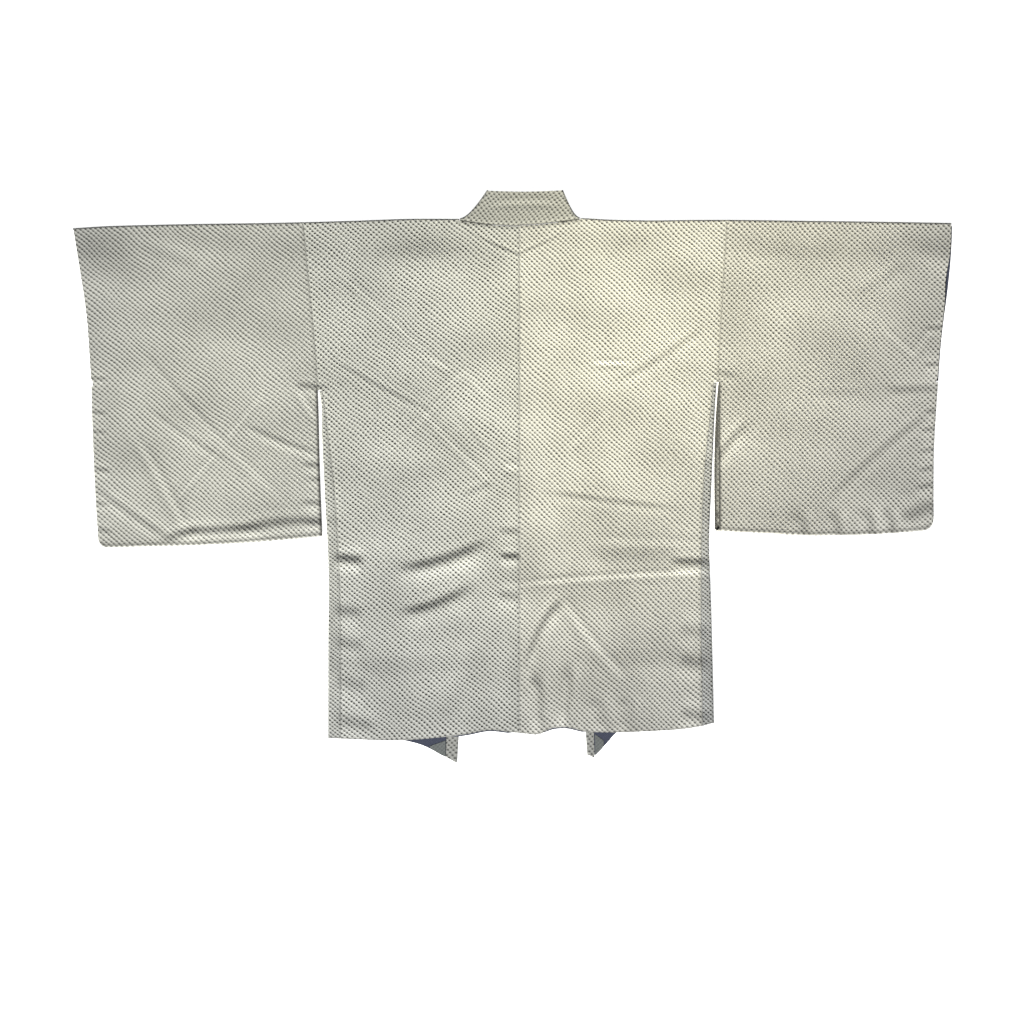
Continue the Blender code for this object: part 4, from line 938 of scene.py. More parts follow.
# %% Sew a sleeve
SLEEVE_WIDTH = 340 * MM
SLEEVE_END = 600 * MM         # just inside the cuff
CUFF_OPENING_END = {"left": 243 * MM, "right": 240 * MM}
CUFF_EASES = 10 * MM          # the open cuff passes into the sewn one over this length
PLAIN_CUFF = 0.6 * MM         # how far the upper layer stays behind the cuff's edge
UNDER_CUFF = 0.9 * MM         # and the lower one
CUFF_PEEK = 1.5 * MM          # the upper one where the lining shows
CUFF_PEEK_MORE = 3.5 * MM     # and how much further where the cuff gapes most
CUFF_PEEK_AT = 88 * MM
CUFF_PEEK_SPREAD = 30 * MM
CORNER_EASES = 4              # power: how soon the bottom edge bends to meet the inner edge
TURNED_IN = 22 * MM           # the shell is turned in this far along the open inner edge
# the open inner edge below the armhole gets a strip of painted shade
TURNED_EDGE_SHADE = 1.6, 2.8 * MM   # how dark that edge is, and half the width of its dark strip


def make_sleeve(side, finishes):
    sign = SIGN[side]
    cloth = Cloth("sleeve_" + side)
    depth = down_at(SLEEVE_BOTTOM, side, SLEEVE_END)
    opening = CUFF_OPENING_END[side] / depth
    rows = np.concatenate([steps(0, opening, EDGE_STEP / depth),
                           steps(opening, 1, EDGE_STEP / depth)[1:]])
    closed = np.searchsorted(rows, opening - ROUNDING)
    across = steps(0, 1, EDGE_STEP / SLEEVE_WIDTH)
    (cuff, cuff_facing), (bottom, bottom_facing) = sleeve_outline(side, rows, across)

    def half_height(places):
        return (over_back(mirrored(places, side)) - FRONT_LEVEL + CLOTH)[:, None] / 2

    def edges(inner_table, cuff_inset):
        ease = ramp(-CUFF_EASES, 0, -cuff[:, 1] - CUFF_OPENING_END[side])[:, None]
        inset = between(np.reshape(cuff_inset, (-1, 1)), half_height(cuff), ease)
        last = cuff - cuff_facing * inset
        low = bottom - bottom_facing * half_height(bottom)
        low[-1] = last[-1]
        down = steps(shoulder_line(side, inner_table["out"][0]), -low[0, 1])
        inner = plan(follow(inner_table, "down", "out", down), down)
        low[:, 0] += (inner[-1, 0] - low[0, 0]) * (1 - across) ** CORNER_EASES
        inner[-1] = low[0]
        out = between(inner[0, 0], last[0, 0], across)
        high = plan(out, shoulder_line(side, out))
        last[0], inner[0] = high[-1], high[0]
        return on_side([inner, low, last[::-1], high[::-1]], side)

    peek = PLAIN_CUFF
    if side == "right":
        peek = CUFF_PEEK + CUFF_PEEK_MORE * np.exp(
            -((-cuff[:, 1] - CUFF_PEEK_AT) / CUFF_PEEK_SPREAD) ** 2)
    upper = cloth.outline(edges(SLEEVE_INNER[side], peek), over_back, UP)
    cloth.layer(upper, over_back, UP, sewn=[upper[0]])
    lower = cloth.outline(edges(SLEEVE_INNER_UNDER[side], UNDER_CUFF), level(FRONT_LEVEL), -UP)
    cloth.layer(lower, level(FRONT_LEVEL), -UP, flat=unfolded, tied=False)
    cloth.roll(upper[3], lower[3], facing(0, 1, across))
    outwards = np.concatenate([cuff_facing[closed:], bottom_facing[-2::-1]]) * [sign, 1]
    cloth.roll(*(np.concatenate([layer[2][::-1][closed:], layer[1][-2::-1]])
                 for layer in (upper, lower)), outwards)
    # painted shade along the sleeve's bottom edge
    cloth.shade(upper[1], *LOW_EDGE_SHADE)
    # painted shade along the open inner edges of both layers
    for inner in (upper[0], lower[0]):
        cloth.shade(inner[cloth.points[inner, 1] < -ARMHOLE_END[side]], *TURNED_EDGE_SHADE)

    def turned_in(places):
        edge = out_at(SLEEVE_INNER_UNDER, side, -places[:, 1])
        return places[:, 0] * sign < edge + TURNED_IN

    return cloth.solid(CLOTH, finishes, turned_in)

# %% [markdown]
# ## The gussets
# A narrow strip is let in below each armhole to give the body its depth. Laid flat, it is folded
# lengthwise, and about half of it shows between the back's side seam and the jacket's outer edge.
# Its tie-dye was worked finer than on the big panels.

# %% Sew a gusset
def make_gusset(side, finishes):
    sign = SIGN[side]
    cloth = Cloth("gusset_" + side)
    start = ARMHOLE_END[side] + SEAM_JOG + SEAM_GAP
    hem_out = out_at(GUSSET_EDGE, side, SIDE_HEM)
    down = steps(start, back_hem(hem_out * sign))
    out = out_at(GUSSET_EDGE, side, down)
    radius = (back_height(out * sign, down) - FRONT_LEVEL) / 2
    fold = plan(out - radius - CLOTH / 2, down)

    def edges(layer, hem_line):
        def seam_out(down):
            return follow(GUSSET_SEAM[side], "down", layer, down) + TIGHT_GAP

        seam_hem = seam_out(SIDE_HEM)
        out = steps(fold[-1, 0], seam_hem)
        across = (out - seam_hem) / (fold[-1, 0] - seam_hem)
        hem = plan(out, between(hem_line(out), down[-1], across ** 2))
        seam_down = steps(-hem[-1, 1], start)
        seam = plan(seam_out(seam_down), seam_down)
        seam[0] = hem[-1]
        top = plan(steps(seam[-1, 0], fold[0, 0]), start)
        return on_side([fold, hem, seam, top], side)

    upper = cloth.outline(edges("back", lambda out: back_hem(out * sign)),
                          over_back, UP)
    cloth.layer(upper, over_back, UP, sewn=upper[1:])
    lower = cloth.outline(edges("front", lambda out: down_at(FRONT_HEM, side, out)),
                          level(FRONT_LEVEL), -UP)
    cloth.layer(lower, level(FRONT_LEVEL), -UP, tied=False)
    cloth.roll(upper[0], lower[0], facing(sign, 0, down))
    # painted shade along the gusset's hem
    cloth.shade(upper[1], *LOW_EDGE_SHADE)
    return cloth.solid(CLOTH, finishes)

# %% [markdown]
# ## The collar
# One long band of the same silk, sewn double, runs round the back neck and down both front edges.
# Laid flat with the back up, it shows behind the neck, turns under at two slanting folds, and
# runs on below as two legs whose outer half is turned back. It is made as the real one lies: one
# shell with the neck part, two legs and two turned halves, all joined by half-round folds.

# %% Edges of the collar
NECK_GAP = 0.45 * MM          # the curved collar seam
NECK_RISE = -1.5 * MM         # the collar's free edge sags a little between its corners
COLLAR_FLAP_START = 150 * MM  # the collar's outer half turns back from here down
FLAP_SHORT = 1.5 * MM         # the turned-back half ends this far above the front's hem
CREASE_FORMS = (-40 * MM, 0)            # down: the collar's crease leaves the folded corner
CREASE_ROUNDS = (90 * MM, 150 * MM)     # down: the crease grows its roll


def collar_corner(side, across):
    """The slanting fold at one side of the neck: points just inside it, and the way it faces."""
    corner = np.column_stack([COLLAR_CORNER[side]["out"], COLLAR_CORNER[side]["up"]])
    t = across[:, None]
    curve = (1 - t) ** 2 * corner[0] + 2 * t * (1 - t) * corner[1] + t * t * corner[2]
    run = 2 * (1 - t) * (corner[1] - corner[0]) + 2 * t * (corner[2] - corner[1])
    outwards = np.column_stack([run[:, 1], -run[:, 0]]) / np.linalg.norm(run, axis=1)[:, None]
    return curve - outwards * (BACK_LEVEL - COLLAR_LOW + COLLAR_CLOTH) / 2, outwards


def neck_outline(left, right):
    """The part behind the neck: its left end, free edge, right end and seam."""
    along = steps(0, 1, EDGE_STEP / (right[-1, 0] - left[-1, 0]))
    free = between(left[-1], right[-1], along[:, None])
    free[:, 1] += NECK_RISE * np.sin(math.pi * along)
    x = steps(right[0, 0], left[0, 0])
    line = np.where(x < 0, neck_line("left", -x), neck_line("right", x))
    seam = plan(x, line - NECK_GAP)
    seam[0], seam[-1] = right[0], left[0]
    return [left, free, right[::-1], seam]


def leg_outline(side, fold):
    """A leg from its fold at the neck: crease above and beside the turned half, hem and seam."""
    end = COLLAR_END[side]
    down = np.concatenate([steps(-fold[-1, 1], COLLAR_FLAP_START, UNDER_STEP),
                           steps(COLLAR_FLAP_START, end["down"][1], UNDER_STEP)[1:]])
    inset = CREASE_INSET * ramp(*CREASE_ROUNDS, down)
    out = out_at(COLLAR_CREASE, side, down) + inset
    crease = plan(between(fold[-1, 0], out, ramp(*CREASE_FORMS, down)), down)
    turn = np.searchsorted(down, COLLAR_FLAP_START - ROUNDING)
    down = steps(end["down"][0], -fold[0, 1], UNDER_STEP)
    out = out_at(COLLAR_SEAM, side, down)
    seam = plan(between(fold[0, 0], out, ramp(*NECK_EASES, down)), down)
    seam[-1] = fold[0]
    hem = between(crease[-1], seam[0], steps(0, 1, EDGE_STEP / COLLAR_WIDTH)[:, None])
    return [fold, crease[:turn + 1], crease[turn:], hem, seam]


def flap_outline(side, crease):
    """The turned half: its crease, lower end, outer edge and upper end."""
    seam_out = COLLAR_END[side]["out"][0]
    low_end = collar_lines(side, COLLAR_END[side]["down"][1])[2]
    out = steps(crease[-1, 0], low_end)
    hem = down_at(FRONT_HEM, side, np.maximum(out, seam_out)) - FLAP_SHORT
    end = plan(out, between(-crease[-1, 1], hem, ramp(crease[-1, 0], seam_out, out)))
    down = steps(-end[-1, 1], -crease[0, 1], UNDER_STEP)
    edge = plan(collar_lines(side, down)[2], down)
    edge[0] = end[-1]
    top = plan(steps(edge[-1, 0], crease[0, 0]), -crease[0, 1])
    return [crease, end, edge, top]


# %% Sew the collar
NECK_CREASES = table("x0 d0 x1 d1 bow crest trough wide",
                     (-40, -22, 56, -24, -3, 0.35, 0.5, 6))
# the collar's seam line is painted shadow under its lower edge
COLLAR_SEAM_SHADE = 1.3             # the shade of its seam


def make_collar(finish):
    cloth = Cloth("collar")
    across = steps(0, 1, EDGE_STEP / COLLAR_WIDTH)
    corners = {side: collar_corner(side, across) for side in SIGN}

    def at_neck(places):
        return BACK_LEVEL + fold_height(NECK_CREASES, places[:, 0], -places[:, 1])

    behind = cloth.outline(neck_outline(*(mirrored(corners[side][0], side) for side in SIGN)),
                           at_neck, UP)
    # its seam gets a darker line of painted shadow
    cloth.layer(behind, at_neck, UP, sewn=[behind[3]], dark=COLLAR_SEAM_SHADE)
    for side, sign in SIGN.items():
        fold, outwards = corners[side]

        def on_leg(places):
            return collar_height(side, places[:, 0] * sign, -places[:, 1])

        paths = leg_outline(side, fold)
        leg = cloth.outline(on_side(paths, side), on_leg, -UP)
        cloth.layer(leg, on_leg, -UP, tied=False)
        flap = cloth.outline(on_side(flap_outline(side, paths[2]), side), level(COLLAR_LOW), UP)
        cloth.layer(flap, level(COLLAR_LOW), UP, tied=False)
        ends = behind[0] if side == "left" else behind[2][::-1]
        cloth.roll(ends, leg[0], outwards * [sign, 1])
        cloth.roll(leg[2], flap[0], facing(-sign, 0, flap[0]), side_out=-1)
    return cloth.solid(COLLAR_CLOTH, [finish])

# %% [markdown]
# ## Lining and hem facing
# The jacket is lined in navy silk, and little of it shows: a corner of each front below the back
# hem, a thin line under the back hem, and the edge of the right cuff. At the front corners the
# shell is turned up inside and shows its wrong side, painted dark grey with the shade of the back
# over it. Each piece is a thin sheet that takes its height from the layer it lies on, so it can't
# sink into it.

# %% Thin sheets that lie on or under a layer
EDGE_IN = 0.5 * MM            # how far a lining stays inside the edge it follows


def lay_sheet(name, side, paths, height, finish):
    """One thin sheet inside an outline, at a height over the table."""
    cloth = Cloth(name + side)
    edge = cloth.outline(on_side(paths, side), height, UP)
    cloth.layer(edge, height, UP, tied=False)
    return cloth.solid(LINING, [finish])


def beyond(height, way):
    """Middle of a lining that lies on a layer (way 1) or under it (way -1)."""
    return lambda places: height(places) + way * (CLOTH / 2) + way * SEAM_GAP + way * (LINING / 2)


def strip(low, high, width):
    """The outline of a strip between two long edges that run opposite ways."""
    across = steps(0, 1, EDGE_STEP / width)[:, None]
    return [low, between(low[-1], high[0], across), high, between(high[-1], low[0], across)]


# %% Lining and hem facing at a front's corner
SEAM_POINTS = 12              # along the facing's side beside the collar


def collar_side(side, down):
    """Where a lining ends beside the collar seam."""
    return out_at(COLLAR_SEAM, side, down) + SEAM_GAP + EDGE_IN


def slant_edge(side):
    """The lining's slanting lower edge on a front, from the collar seam to the hem."""
    edge = LINING_EDGE[side]
    out = steps(collar_side(side, COLLAR_HEM), edge["out"][1])
    return plan(out, np.interp(out, edge["out"], edge["down"]))


def make_front_lining(side, finish):
    slant = slant_edge(side) + [0, SEAM_GAP]
    out = steps(slant[-1, 0] + EDGE_STEP, body_edge(side, SIDE_HEM, "front") - EDGE_IN)
    hem = plan(out, down_at(FRONT_HEM, side, out) - EDGE_IN)
    top = -hem[-1, 1] - FRONT_LINING_DEPTH
    down = steps(-hem[-1, 1], top)
    edge = plan(body_edge(side, down, "front") - EDGE_IN, down)
    edge[0] = hem[-1]
    down = steps(top, -slant[0, 1])
    seam = plan(collar_side(side, down), down)
    seam[-1] = slant[0]
    paths = [np.concatenate([slant, hem]), edge, plan(steps(edge[-1, 0], seam[0, 0]), top), seam]
    return lay_sheet("front_lining_", side, paths, beyond(over_front(side), 1), finish)


def make_hem_facing(side, finish):
    slant = slant_edge(side)[:-2] - [0, SEAM_GAP]
    hem_down = down_at(FRONT_HEM, side, slant[:, 0]) - EDGE_IN
    slant = slant[-slant[:, 1] < hem_down - EDGE_IN]
    hem = plan(slant[::-1, 0], hem_down[:len(slant)][::-1])
    tip, seam = np.linspace(slant[-1], hem[0], 2), np.linspace(hem[-1], slant[0], SEAM_POINTS)
    return lay_sheet("hem_facing_", side, [slant, tip, hem, seam],
                     beyond(over_front(side), 1), finish)


# %% Lining of the cuff
CUFF_LINING_DEPTH = 45 * MM   # how far it reaches into the sleeve
CUFF_LINING_SHORT = 2 * MM    # how far it stops short of the opening's two ends


def make_cuff_lining(side, finish):
    start = shoulder_line(side, CUFF_EDGE[side]["out"][0]) + CUFF_LINING_SHORT
    down = steps(start, CUFF_OPENING_END[side] - CUFF_LINING_SHORT)
    edge = plan(out_at(CUFF_EDGE, side, down), down)
    inner = edge - [CUFF_LINING_DEPTH, 0]
    return lay_sheet("cuff_lining_", side, strip(edge, inner[::-1], CUFF_LINING_DEPTH),
                     level(CLOTH + SEAM_GAP + LINING / 2), finish)


# %% Lining under the back hem
BACK_LINING_SPAN = {"left": (5 * MM, 105 * MM), "right": (30 * MM, 104 * MM)}
BACK_LINING_PEEK = 1.8 * MM   # how far it hangs below the back hem
BACK_LINING_DEPTH = 26 * MM
LINING_EASES = 14 * MM        # it comes down from the hem over this length


def make_back_lining(side, finish):
    first, last = BACK_LINING_SPAN[side]
    out = steps(first, last)
    peek = ramp(first, first + LINING_EASES, out) * ramp(last, last - LINING_EASES, out)
    hem_line = back_hem(out * SIGN[side])
    low = plan(out, hem_line + between(-EDGE_IN, BACK_LINING_PEEK, peek))
    high = plan(out[::-1], hem_line[::-1] - BACK_LINING_DEPTH)
    return lay_sheet("back_lining_", side, strip(low, high, BACK_LINING_DEPTH),
                     beyond(over_back, -1), finish)

# %% [markdown]
# ## Building shaders in code
# A material is a tree of nodes. Typed out in full, each node takes a line for itself and one for
# every wire. A few small helpers keep a tree as short as the idea behind it: one adds a node and
# plugs in its inputs, and the others are the sums, colours and groups that come back most.

# %% Helpers for node trees
def add_node(tree, kind, inputs=(), **settings):
    """Add a node; an input that is a socket is wired up, and any other value is typed in."""
    made = tree.nodes.new("ShaderNode" + kind)
    for name, value in settings.items():
        setattr(made, name, value)
    for key, value in dict(inputs).items():
        if isinstance(value, bpy.types.NodeSocket):
            tree.links.new(value, made.inputs[key])
        else:
            made.inputs[key].default_value = value
    return made


def maths(tree, operation, *values):
    """One sum, as the socket that holds its result."""
    return add_node(tree, "Math", enumerate(values), operation=operation).outputs[0]


def times(tree, first, second):
    """The product of two numbers."""
    return maths(tree, "MULTIPLY", first, second)


def vector(tree, operation, *values, **named):
    """One sum with vectors."""
    inputs = {**dict(enumerate(values)), **named}
    return add_node(tree, "VectorMath", inputs, operation=operation).outputs[0]


def blend(tree, amount, first, second, how="MIX"):
    """One colour laid over another."""
    inputs = {0: amount, 6: first, 7: second}
    return add_node(tree, "Mix", inputs, data_type="RGBA", blend_type=how).outputs[2]


def spread(tree, value, low, high):
    """0 at low, 1 at high, and smooth between them."""
    inputs = {0: value, 1: low, 2: high}
    return add_node(tree, "MapRange", inputs, interpolation_type="SMOOTHSTEP").outputs[0]


def split(tree, value):
    """The three numbers of a vector."""
    return add_node(tree, "SeparateXYZ", {0: value}).outputs


def new_group(name, inputs, outputs):
    """A shader group whose inputs have a value each: the group, its inputs and a way out."""
    group = bpy.data.node_groups.new(name, "ShaderNodeTree")
    group.interface.new_socket("Vector", in_out="INPUT", socket_type="NodeSocketVector")
    for label, value in inputs.items():
        socket = group.interface.new_socket(label, in_out="INPUT", socket_type="NodeSocketFloat")
        socket.default_value = value
    for label in outputs:
        group.interface.new_socket(label, in_out="OUTPUT", socket_type="NodeSocketFloat")
    return group, group.nodes.new("NodeGroupInput").outputs, group.nodes.new("NodeGroupOutput")


def use_group(tree, group, place, **values):
    """A group placed in a material, with its own values."""
    return add_node(tree, "Group", {"Vector": place, **values}, node_tree=group).outputs

# %% [markdown]
# ## The tied dots
# The thread wound round each tuft kept the dye out of its sides, but the tip stood free and took
# it: so each bump has a small dark dot on its tip, drawn out a little along the weave. A printed
# image would repeat and would blur close up. Here a group of nodes works it out: two sets of
# repeats, half a repeat apart both ways, and in each repeat one soft leaning oval. A random
# number for each repeat makes some dots darker, some larger, and moves each a little off its
# place. Two more outputs follow the shape: one is 1 on the tips, the other is 1 in the furrows
# between slanting rows of them.

# %% Group: tied dots
def one_set(group, given, offset):
    """One set of dots, moved by a part of a repeat."""
    moved = vector(group, "ADD", given["Vector"], (offset, offset, 0))
    chance = add_node(group, "TexWhiteNoise", {"Vector": vector(group, "FLOOR", moved)},
                      noise_dimensions="3D").outputs
    wander = vector(group, "SUBTRACT", chance["Color"], (0.5, 0.5, 0.5))
    wander = vector(group, "SCALE", wander, Scale=given["Wander"])
    centre = vector(group, "SUBTRACT", vector(group, "FRACTION", moved), (0.5, 0.5, 0))
    centre = vector(group, "SUBTRACT", centre, wander)
    turned = add_node(group, "VectorRotate", {"Vector": centre, "Angle": given["Lean"]},
                      rotation_type="Z_AXIS")
    along, across, _ = split(group, turned.outputs[0])
    uneven = given["Unevenness"]
    size = maths(group, "MULTIPLY_ADD", chance["Value"], uneven,
                 maths(group, "MULTIPLY_ADD", uneven, -0.5, 1.0))
    long = maths(group, "DIVIDE", along, times(group, given["Length"], size))
    wide = maths(group, "DIVIDE", across, times(group, given["Width"], size))
    away = maths(group, "SQRT", maths(group, "ADD", times(group, long, long),
                                      times(group, wide, wide)))
    edge = times(group, given["Softness"], 0.5)
    dot = spread(group, away, maths(group, "ADD", edge, 1.0), maths(group, "SUBTRACT", 1.0, edge))
    third = add_node(group, "SeparateColor", {0: chance["Color"]}).outputs[2]
    faint = maths(group, "MULTIPLY_ADD", third, times(group, uneven, -1.0), 1.0)
    return times(group, dot, faint)


def make_tied_dots():
    group, given, result = new_group(
        "tied dots", {"Length": 0.3, "Width": 0.2, "Lean": 0.6, "Softness": 0.5, "Wander": 0.06,
                      "Unevenness": 0.3}, ("Dots", "Furrow", "Tip"))
    across, down, _ = split(group, given["Vector"])

    def wave(repeats):
        return maths(group, "COSINE", times(group, repeats, 2 * math.pi))

    dots = maths(group, "MAXIMUM", one_set(group, given, 0.0), one_set(group, given, 0.5))
    furrow = maths(group, "MULTIPLY_ADD", wave(maths(group, "SUBTRACT", across, down)), -0.5, 0.5)
    tip = maths(group, "MULTIPLY_ADD", times(group, wave(across), wave(down)), 0.5, 0.5)
    for label, socket in (("Dots", dots), ("Furrow", furrow), ("Tip", tip)):
        group.links.new(socket, result.inputs[label])
    return group


TIED_DOTS = make_tied_dots()
print("group:", TIED_DOTS.name, len(TIED_DOTS.nodes), "nodes")

# %% [markdown]
# ## Crepe and age
# Between the dots the silk is a fine crepe: hard-twisted threads that crinkle the surface. And a
# jacket that has been worn and folded is never one even shade. Both effects are wanted by the
# silk, the lining and the hem facing, so each is a group: one gives a fine grain, the other slow
# patches.

# %% Groups: crepe grain and slow shading
THREAD_DRAWN, THREAD_COARSE = 0.25, 0.35    # how long and how coarse slubs are, beside the grain
PATCH_EDGES = (0.3, 0.7)      # of the noise, where a patch begins and where it is full


def noise(group, place, scale, detail, roughness=0.5):
    """A cloudy pattern of numbers from 0 to 1."""
    return add_node(group, "TexNoise", {"Vector": place, "Scale": scale, "Detail": detail,
                                        "Roughness": roughness}).outputs[0]


def make_crepe():
    group, given, result = new_group("crepe grain", {"Fineness": 900.0, "Slub": 0.4}, ["Grain"])
    fine = noise(group, given["Vector"], given["Fineness"], 2.0, 0.6)
    drawn_out = vector(group, "MULTIPLY", given["Vector"], (1.0, THREAD_DRAWN, 1.0))
    slub = noise(group, drawn_out, times(group, given["Fineness"], THREAD_COARSE), 1.0)
    grain = maths(group, "MULTIPLY_ADD", maths(group, "SUBTRACT", slub, fine), given["Slub"], fine)
    group.links.new(grain, result.inputs["Grain"])
    return group


def make_patches():
    group, given, result = new_group("slow patches", {"Size": 7.0}, ["Patches"])
    broad = noise(group, given["Vector"], given["Size"], 4.0, 0.55)
    group.links.new(spread(group, broad, *PATCH_EDGES), result.inputs["Patches"])
    return group


CREPE, PATCHES = make_crepe(), make_patches()
print("groups:", CREPE.name, "and", PATCHES.name)

# %% [markdown]
# ## The shell silk
# The silk is cream where it was not dyed, and it has the soft gloss of silk. Its ground is painted
# deeper, to grey-green, round the dots and paler between them: painted shading of the bumps. Where
# it turns under at an edge, dips into a seam, turns in or ends at a hem, painted shade darkens it.
# All panels were dyed together, but each was tied and pressed in its own way: on the left body the
# dots are round and crisp, on the right body and the left sleeve they are drawn out along slanting
# ridges. The ground colours differ from panel to panel as painted shade as well: the sleeves, the
# right gusset and the collar are darker. So one function makes every panel's material, and a table
# holds what sets them apart.

# %% How each panel was tied
# the ground colours are painted darker on the sleeves, the right gusset and the collar: painted
# shade on the same silk
SILK = {     # ground colour, then the dots' length, width, lean in degrees and depth
    "body_left": ((0.475, 0.480, 0.462), 0.215, 0.145, 25, 1.00),
    "body_right": ((0.480, 0.478, 0.452), 0.235, 0.138, 25, 0.84),
    "sleeve_left": ((0.438, 0.440, 0.424), 0.275, 0.124, 32, 0.74),
    "sleeve_right": ((0.415, 0.413, 0.393), 0.222, 0.142, 18, 0.86),
    "gusset_left": ((0.430, 0.436, 0.420), 0.22, 0.14, 25, 0.95),
    "gusset_right": ((0.335, 0.342, 0.345), 0.22, 0.15, 25, 1.00),
    "collar": ((0.315, 0.318, 0.305), 0.205, 0.15, 20, 0.80),
}
DOTS = {"Softness": 0.5, "Wander": 0.07, "Unevenness": 0.22}
# painted shading of the bumps: the ground darker round each dot and paler between them
NEAR_DOT = 0.50               # shade of the ground round each dot, against that between them
# painted shade where the cloth turns under at an edge
ROLLED_SHADE = 0.95                 # where the cloth turns under at an edge
# painted shade in a seam, at a turned-in edge and at a hem
SHADED = 0.12                 # and in a seam or a turned-in edge
DOT_DYE = (0.006, 0.006, 0.005, 1)
PATCH_SHADE = (0.60, 0.60, 0.58, 1)
PATCHY = 0.26                 # how much of the slow patches shows
GRAINY = 0.35                 # how much of the crepe grain shows, in the colour and in the bump
# the tilts over which the painted shade of rolled edges fades out
ROLLED_TILT = 0.30, 0.80      # how far a face of a rolled edge and one of the flat cloth look up
TIP_ROUGH, LOW_ROUGH = 0.62, -0.12      # roughness on the tips, and what low parts add to it
DOT_RISES = 0.5               # how far the bump lifts a dot, beside the dip between the tips
SILK_BUMP = 0.6, 0.35 * MM    # its strength and depth
SILK_SHINE = {"Specular IOR Level": 0.45, "Sheen Weight": 0.12, "Sheen Roughness": 0.4}


def new_cloth(name):
    """A material, its tree, the rows of dots on the cloth, and the piece's own coordinates."""
    material = bpy.data.materials.new(name)
    material.use_nodes = True
    tree = material.node_tree
    return (material, tree, add_node(tree, "UVMap", uv_map="cloth").outputs[0],
            add_node(tree, "TexCoord").outputs)


def surface(tree, colour, height, bump, constants):
    """Give the shader its colour, a bump, and the values that are the same all over."""
    shader = tree.nodes["Principled BSDF"]
    tree.links.new(colour, shader.inputs["Base Color"])
    strength, depth = bump
    made = add_node(tree, "Bump", {"Strength": strength, "Distance": depth, "Height": height})
    tree.links.new(made.outputs[0], shader.inputs["Normal"])
    for label, value in constants.items():
        shader.inputs[label].default_value = value
    return shader


def toned(colour, tone=1.0):
    return (*(channel * tone for channel in colour), 1.0)


print("each panel's silk is a material of its own:", ", ".join(SILK))

# %% The silk of one panel
def silk_material(panel):
    cream, length, width, lean, depth = SILK[panel]
    ridged = ROWS[panel][2]
    material, tree, rows, place = new_cloth("shibori_silk_" + panel)
    dots = use_group(tree, TIED_DOTS, rows, Length=length, Width=width, Lean=-math.radians(lean),
                     **DOTS)
    grain = use_group(tree, CREPE, place["Object"])[0]
    patches = use_group(tree, PATCHES, place["Object"])[0]
    between_tips = times(tree, maths(tree, "SUBTRACT", 1.0, dots["Tip"]), 1.0 - ridged)
    low_part = maths(tree, "ADD", times(tree, dots["Furrow"], ridged), between_tips)
    # painted shading of the bumps' relief: darker round the tips, cream in the low parts
    ground = blend(tree, low_part, toned(cream, NEAR_DOT), toned(cream))
    ground = blend(tree, times(tree, grain, GRAINY), ground, toned(cream, NEAR_DOT))
    ground = blend(tree, times(tree, patches, PATCHY), ground, PATCH_SHADE, "MULTIPLY")
    # faces that tilt away from up, on rolled edges, get painted shade and no dots
    tilt = maths(tree, "ABSOLUTE", split(tree, place["Normal"])[2])
    flat = spread(tree, tilt, *ROLLED_TILT)
    seen = times(tree, times(tree, dots["Dots"], depth), flat)
    dyed_and_shaded = blend(tree, flat, toned(cream, ROLLED_SHADE), blend(tree, seen, ground, DOT_DYE))
    # painted shade from the seam attribute: in seams, at turned-in edges and at hems
    seam = add_node(tree, "Attribute", attribute_name="seam").outputs["Fac"]
    dyed_and_shaded = blend(tree, seam, dyed_and_shaded, toned(cream, SHADED))
    height = maths(tree, "MULTIPLY_ADD", grain, GRAINY, times(tree, low_part, -1.0))
    height = maths(tree, "MULTIPLY_ADD", dots["Dots"], DOT_RISES, height)
    shader = surface(tree, dyed_and_shaded, height, SILK_BUMP, SILK_SHINE)
    rough = maths(tree, "MULTIPLY_ADD", low_part, LOW_ROUGH, TIP_ROUGH)
    tree.links.new(rough, shader.inputs["Roughness"])
    return material


FINISH = {panel: silk_material(panel) for panel in SILK}
print(len(FINISH), "silk materials")

# %% [markdown]
# ## Lining and wrong side
# The lining is a plain-woven navy silk with a fine woven dot. The facing is the shell's wrong
# side: the same rows of dots, seen through the cloth as grey on grey, and painted darker with the
# shade of the back that lies over it.

# %% Materials of the inside
NAVY_DARK, NAVY_LIGHT = (0.017, 0.021, 0.040, 1), (0.037, 0.043, 0.072, 1)
NAVY_SPOT = (0.14, 0.15, 0.19, 1)
SPOTS = {"Length": 0.16, "Width": 0.16, "Softness": 0.6, "Wander": 0.0, "Unevenness": 0.1}
SPOTS_TO_REPEAT = 2.2         # how many woven spots there are to a repeat of the rows
LINING_FINENESS = 1400.0      # of its grain, which is finer than the crepe's
LINING_BUMP, WRONG_BUMP = (0.3, 0.1 * MM), (0.5, 0.2 * MM)
LINING_ROUGH, WRONG_ROUGH = {"Roughness": 0.42}, {"Roughness": 0.7}
# the wrong side's greys are painted dark: painted shade of the back over the facing
GREY_DARK, GREY_LIGHT = (0.065, 0.075, 0.077, 1), (0.130, 0.140, 0.140, 1)
GREY_DOT = (0.033, 0.036, 0.037, 1)
GREY_DOTS = {"Length": 0.30, "Width": 0.2, "Softness": 1.2}
HALF = 0.5                    # so much of the spots and of the dots shows


def lining_material():
    material, tree, rows, place = new_cloth("lining_silk")
    finer = vector(tree, "SCALE", rows, Scale=SPOTS_TO_REPEAT)
    spots = use_group(tree, TIED_DOTS, finer, **SPOTS)
    grain = use_group(tree, CREPE, place["Object"], Fineness=LINING_FINENESS)[0]
    navy = blend(tree, grain, NAVY_DARK, NAVY_LIGHT)
    spotted = blend(tree, times(tree, spots["Dots"], HALF), navy, NAVY_SPOT)
    surface(tree, spotted, grain, LINING_BUMP, LINING_ROUGH)
    return material


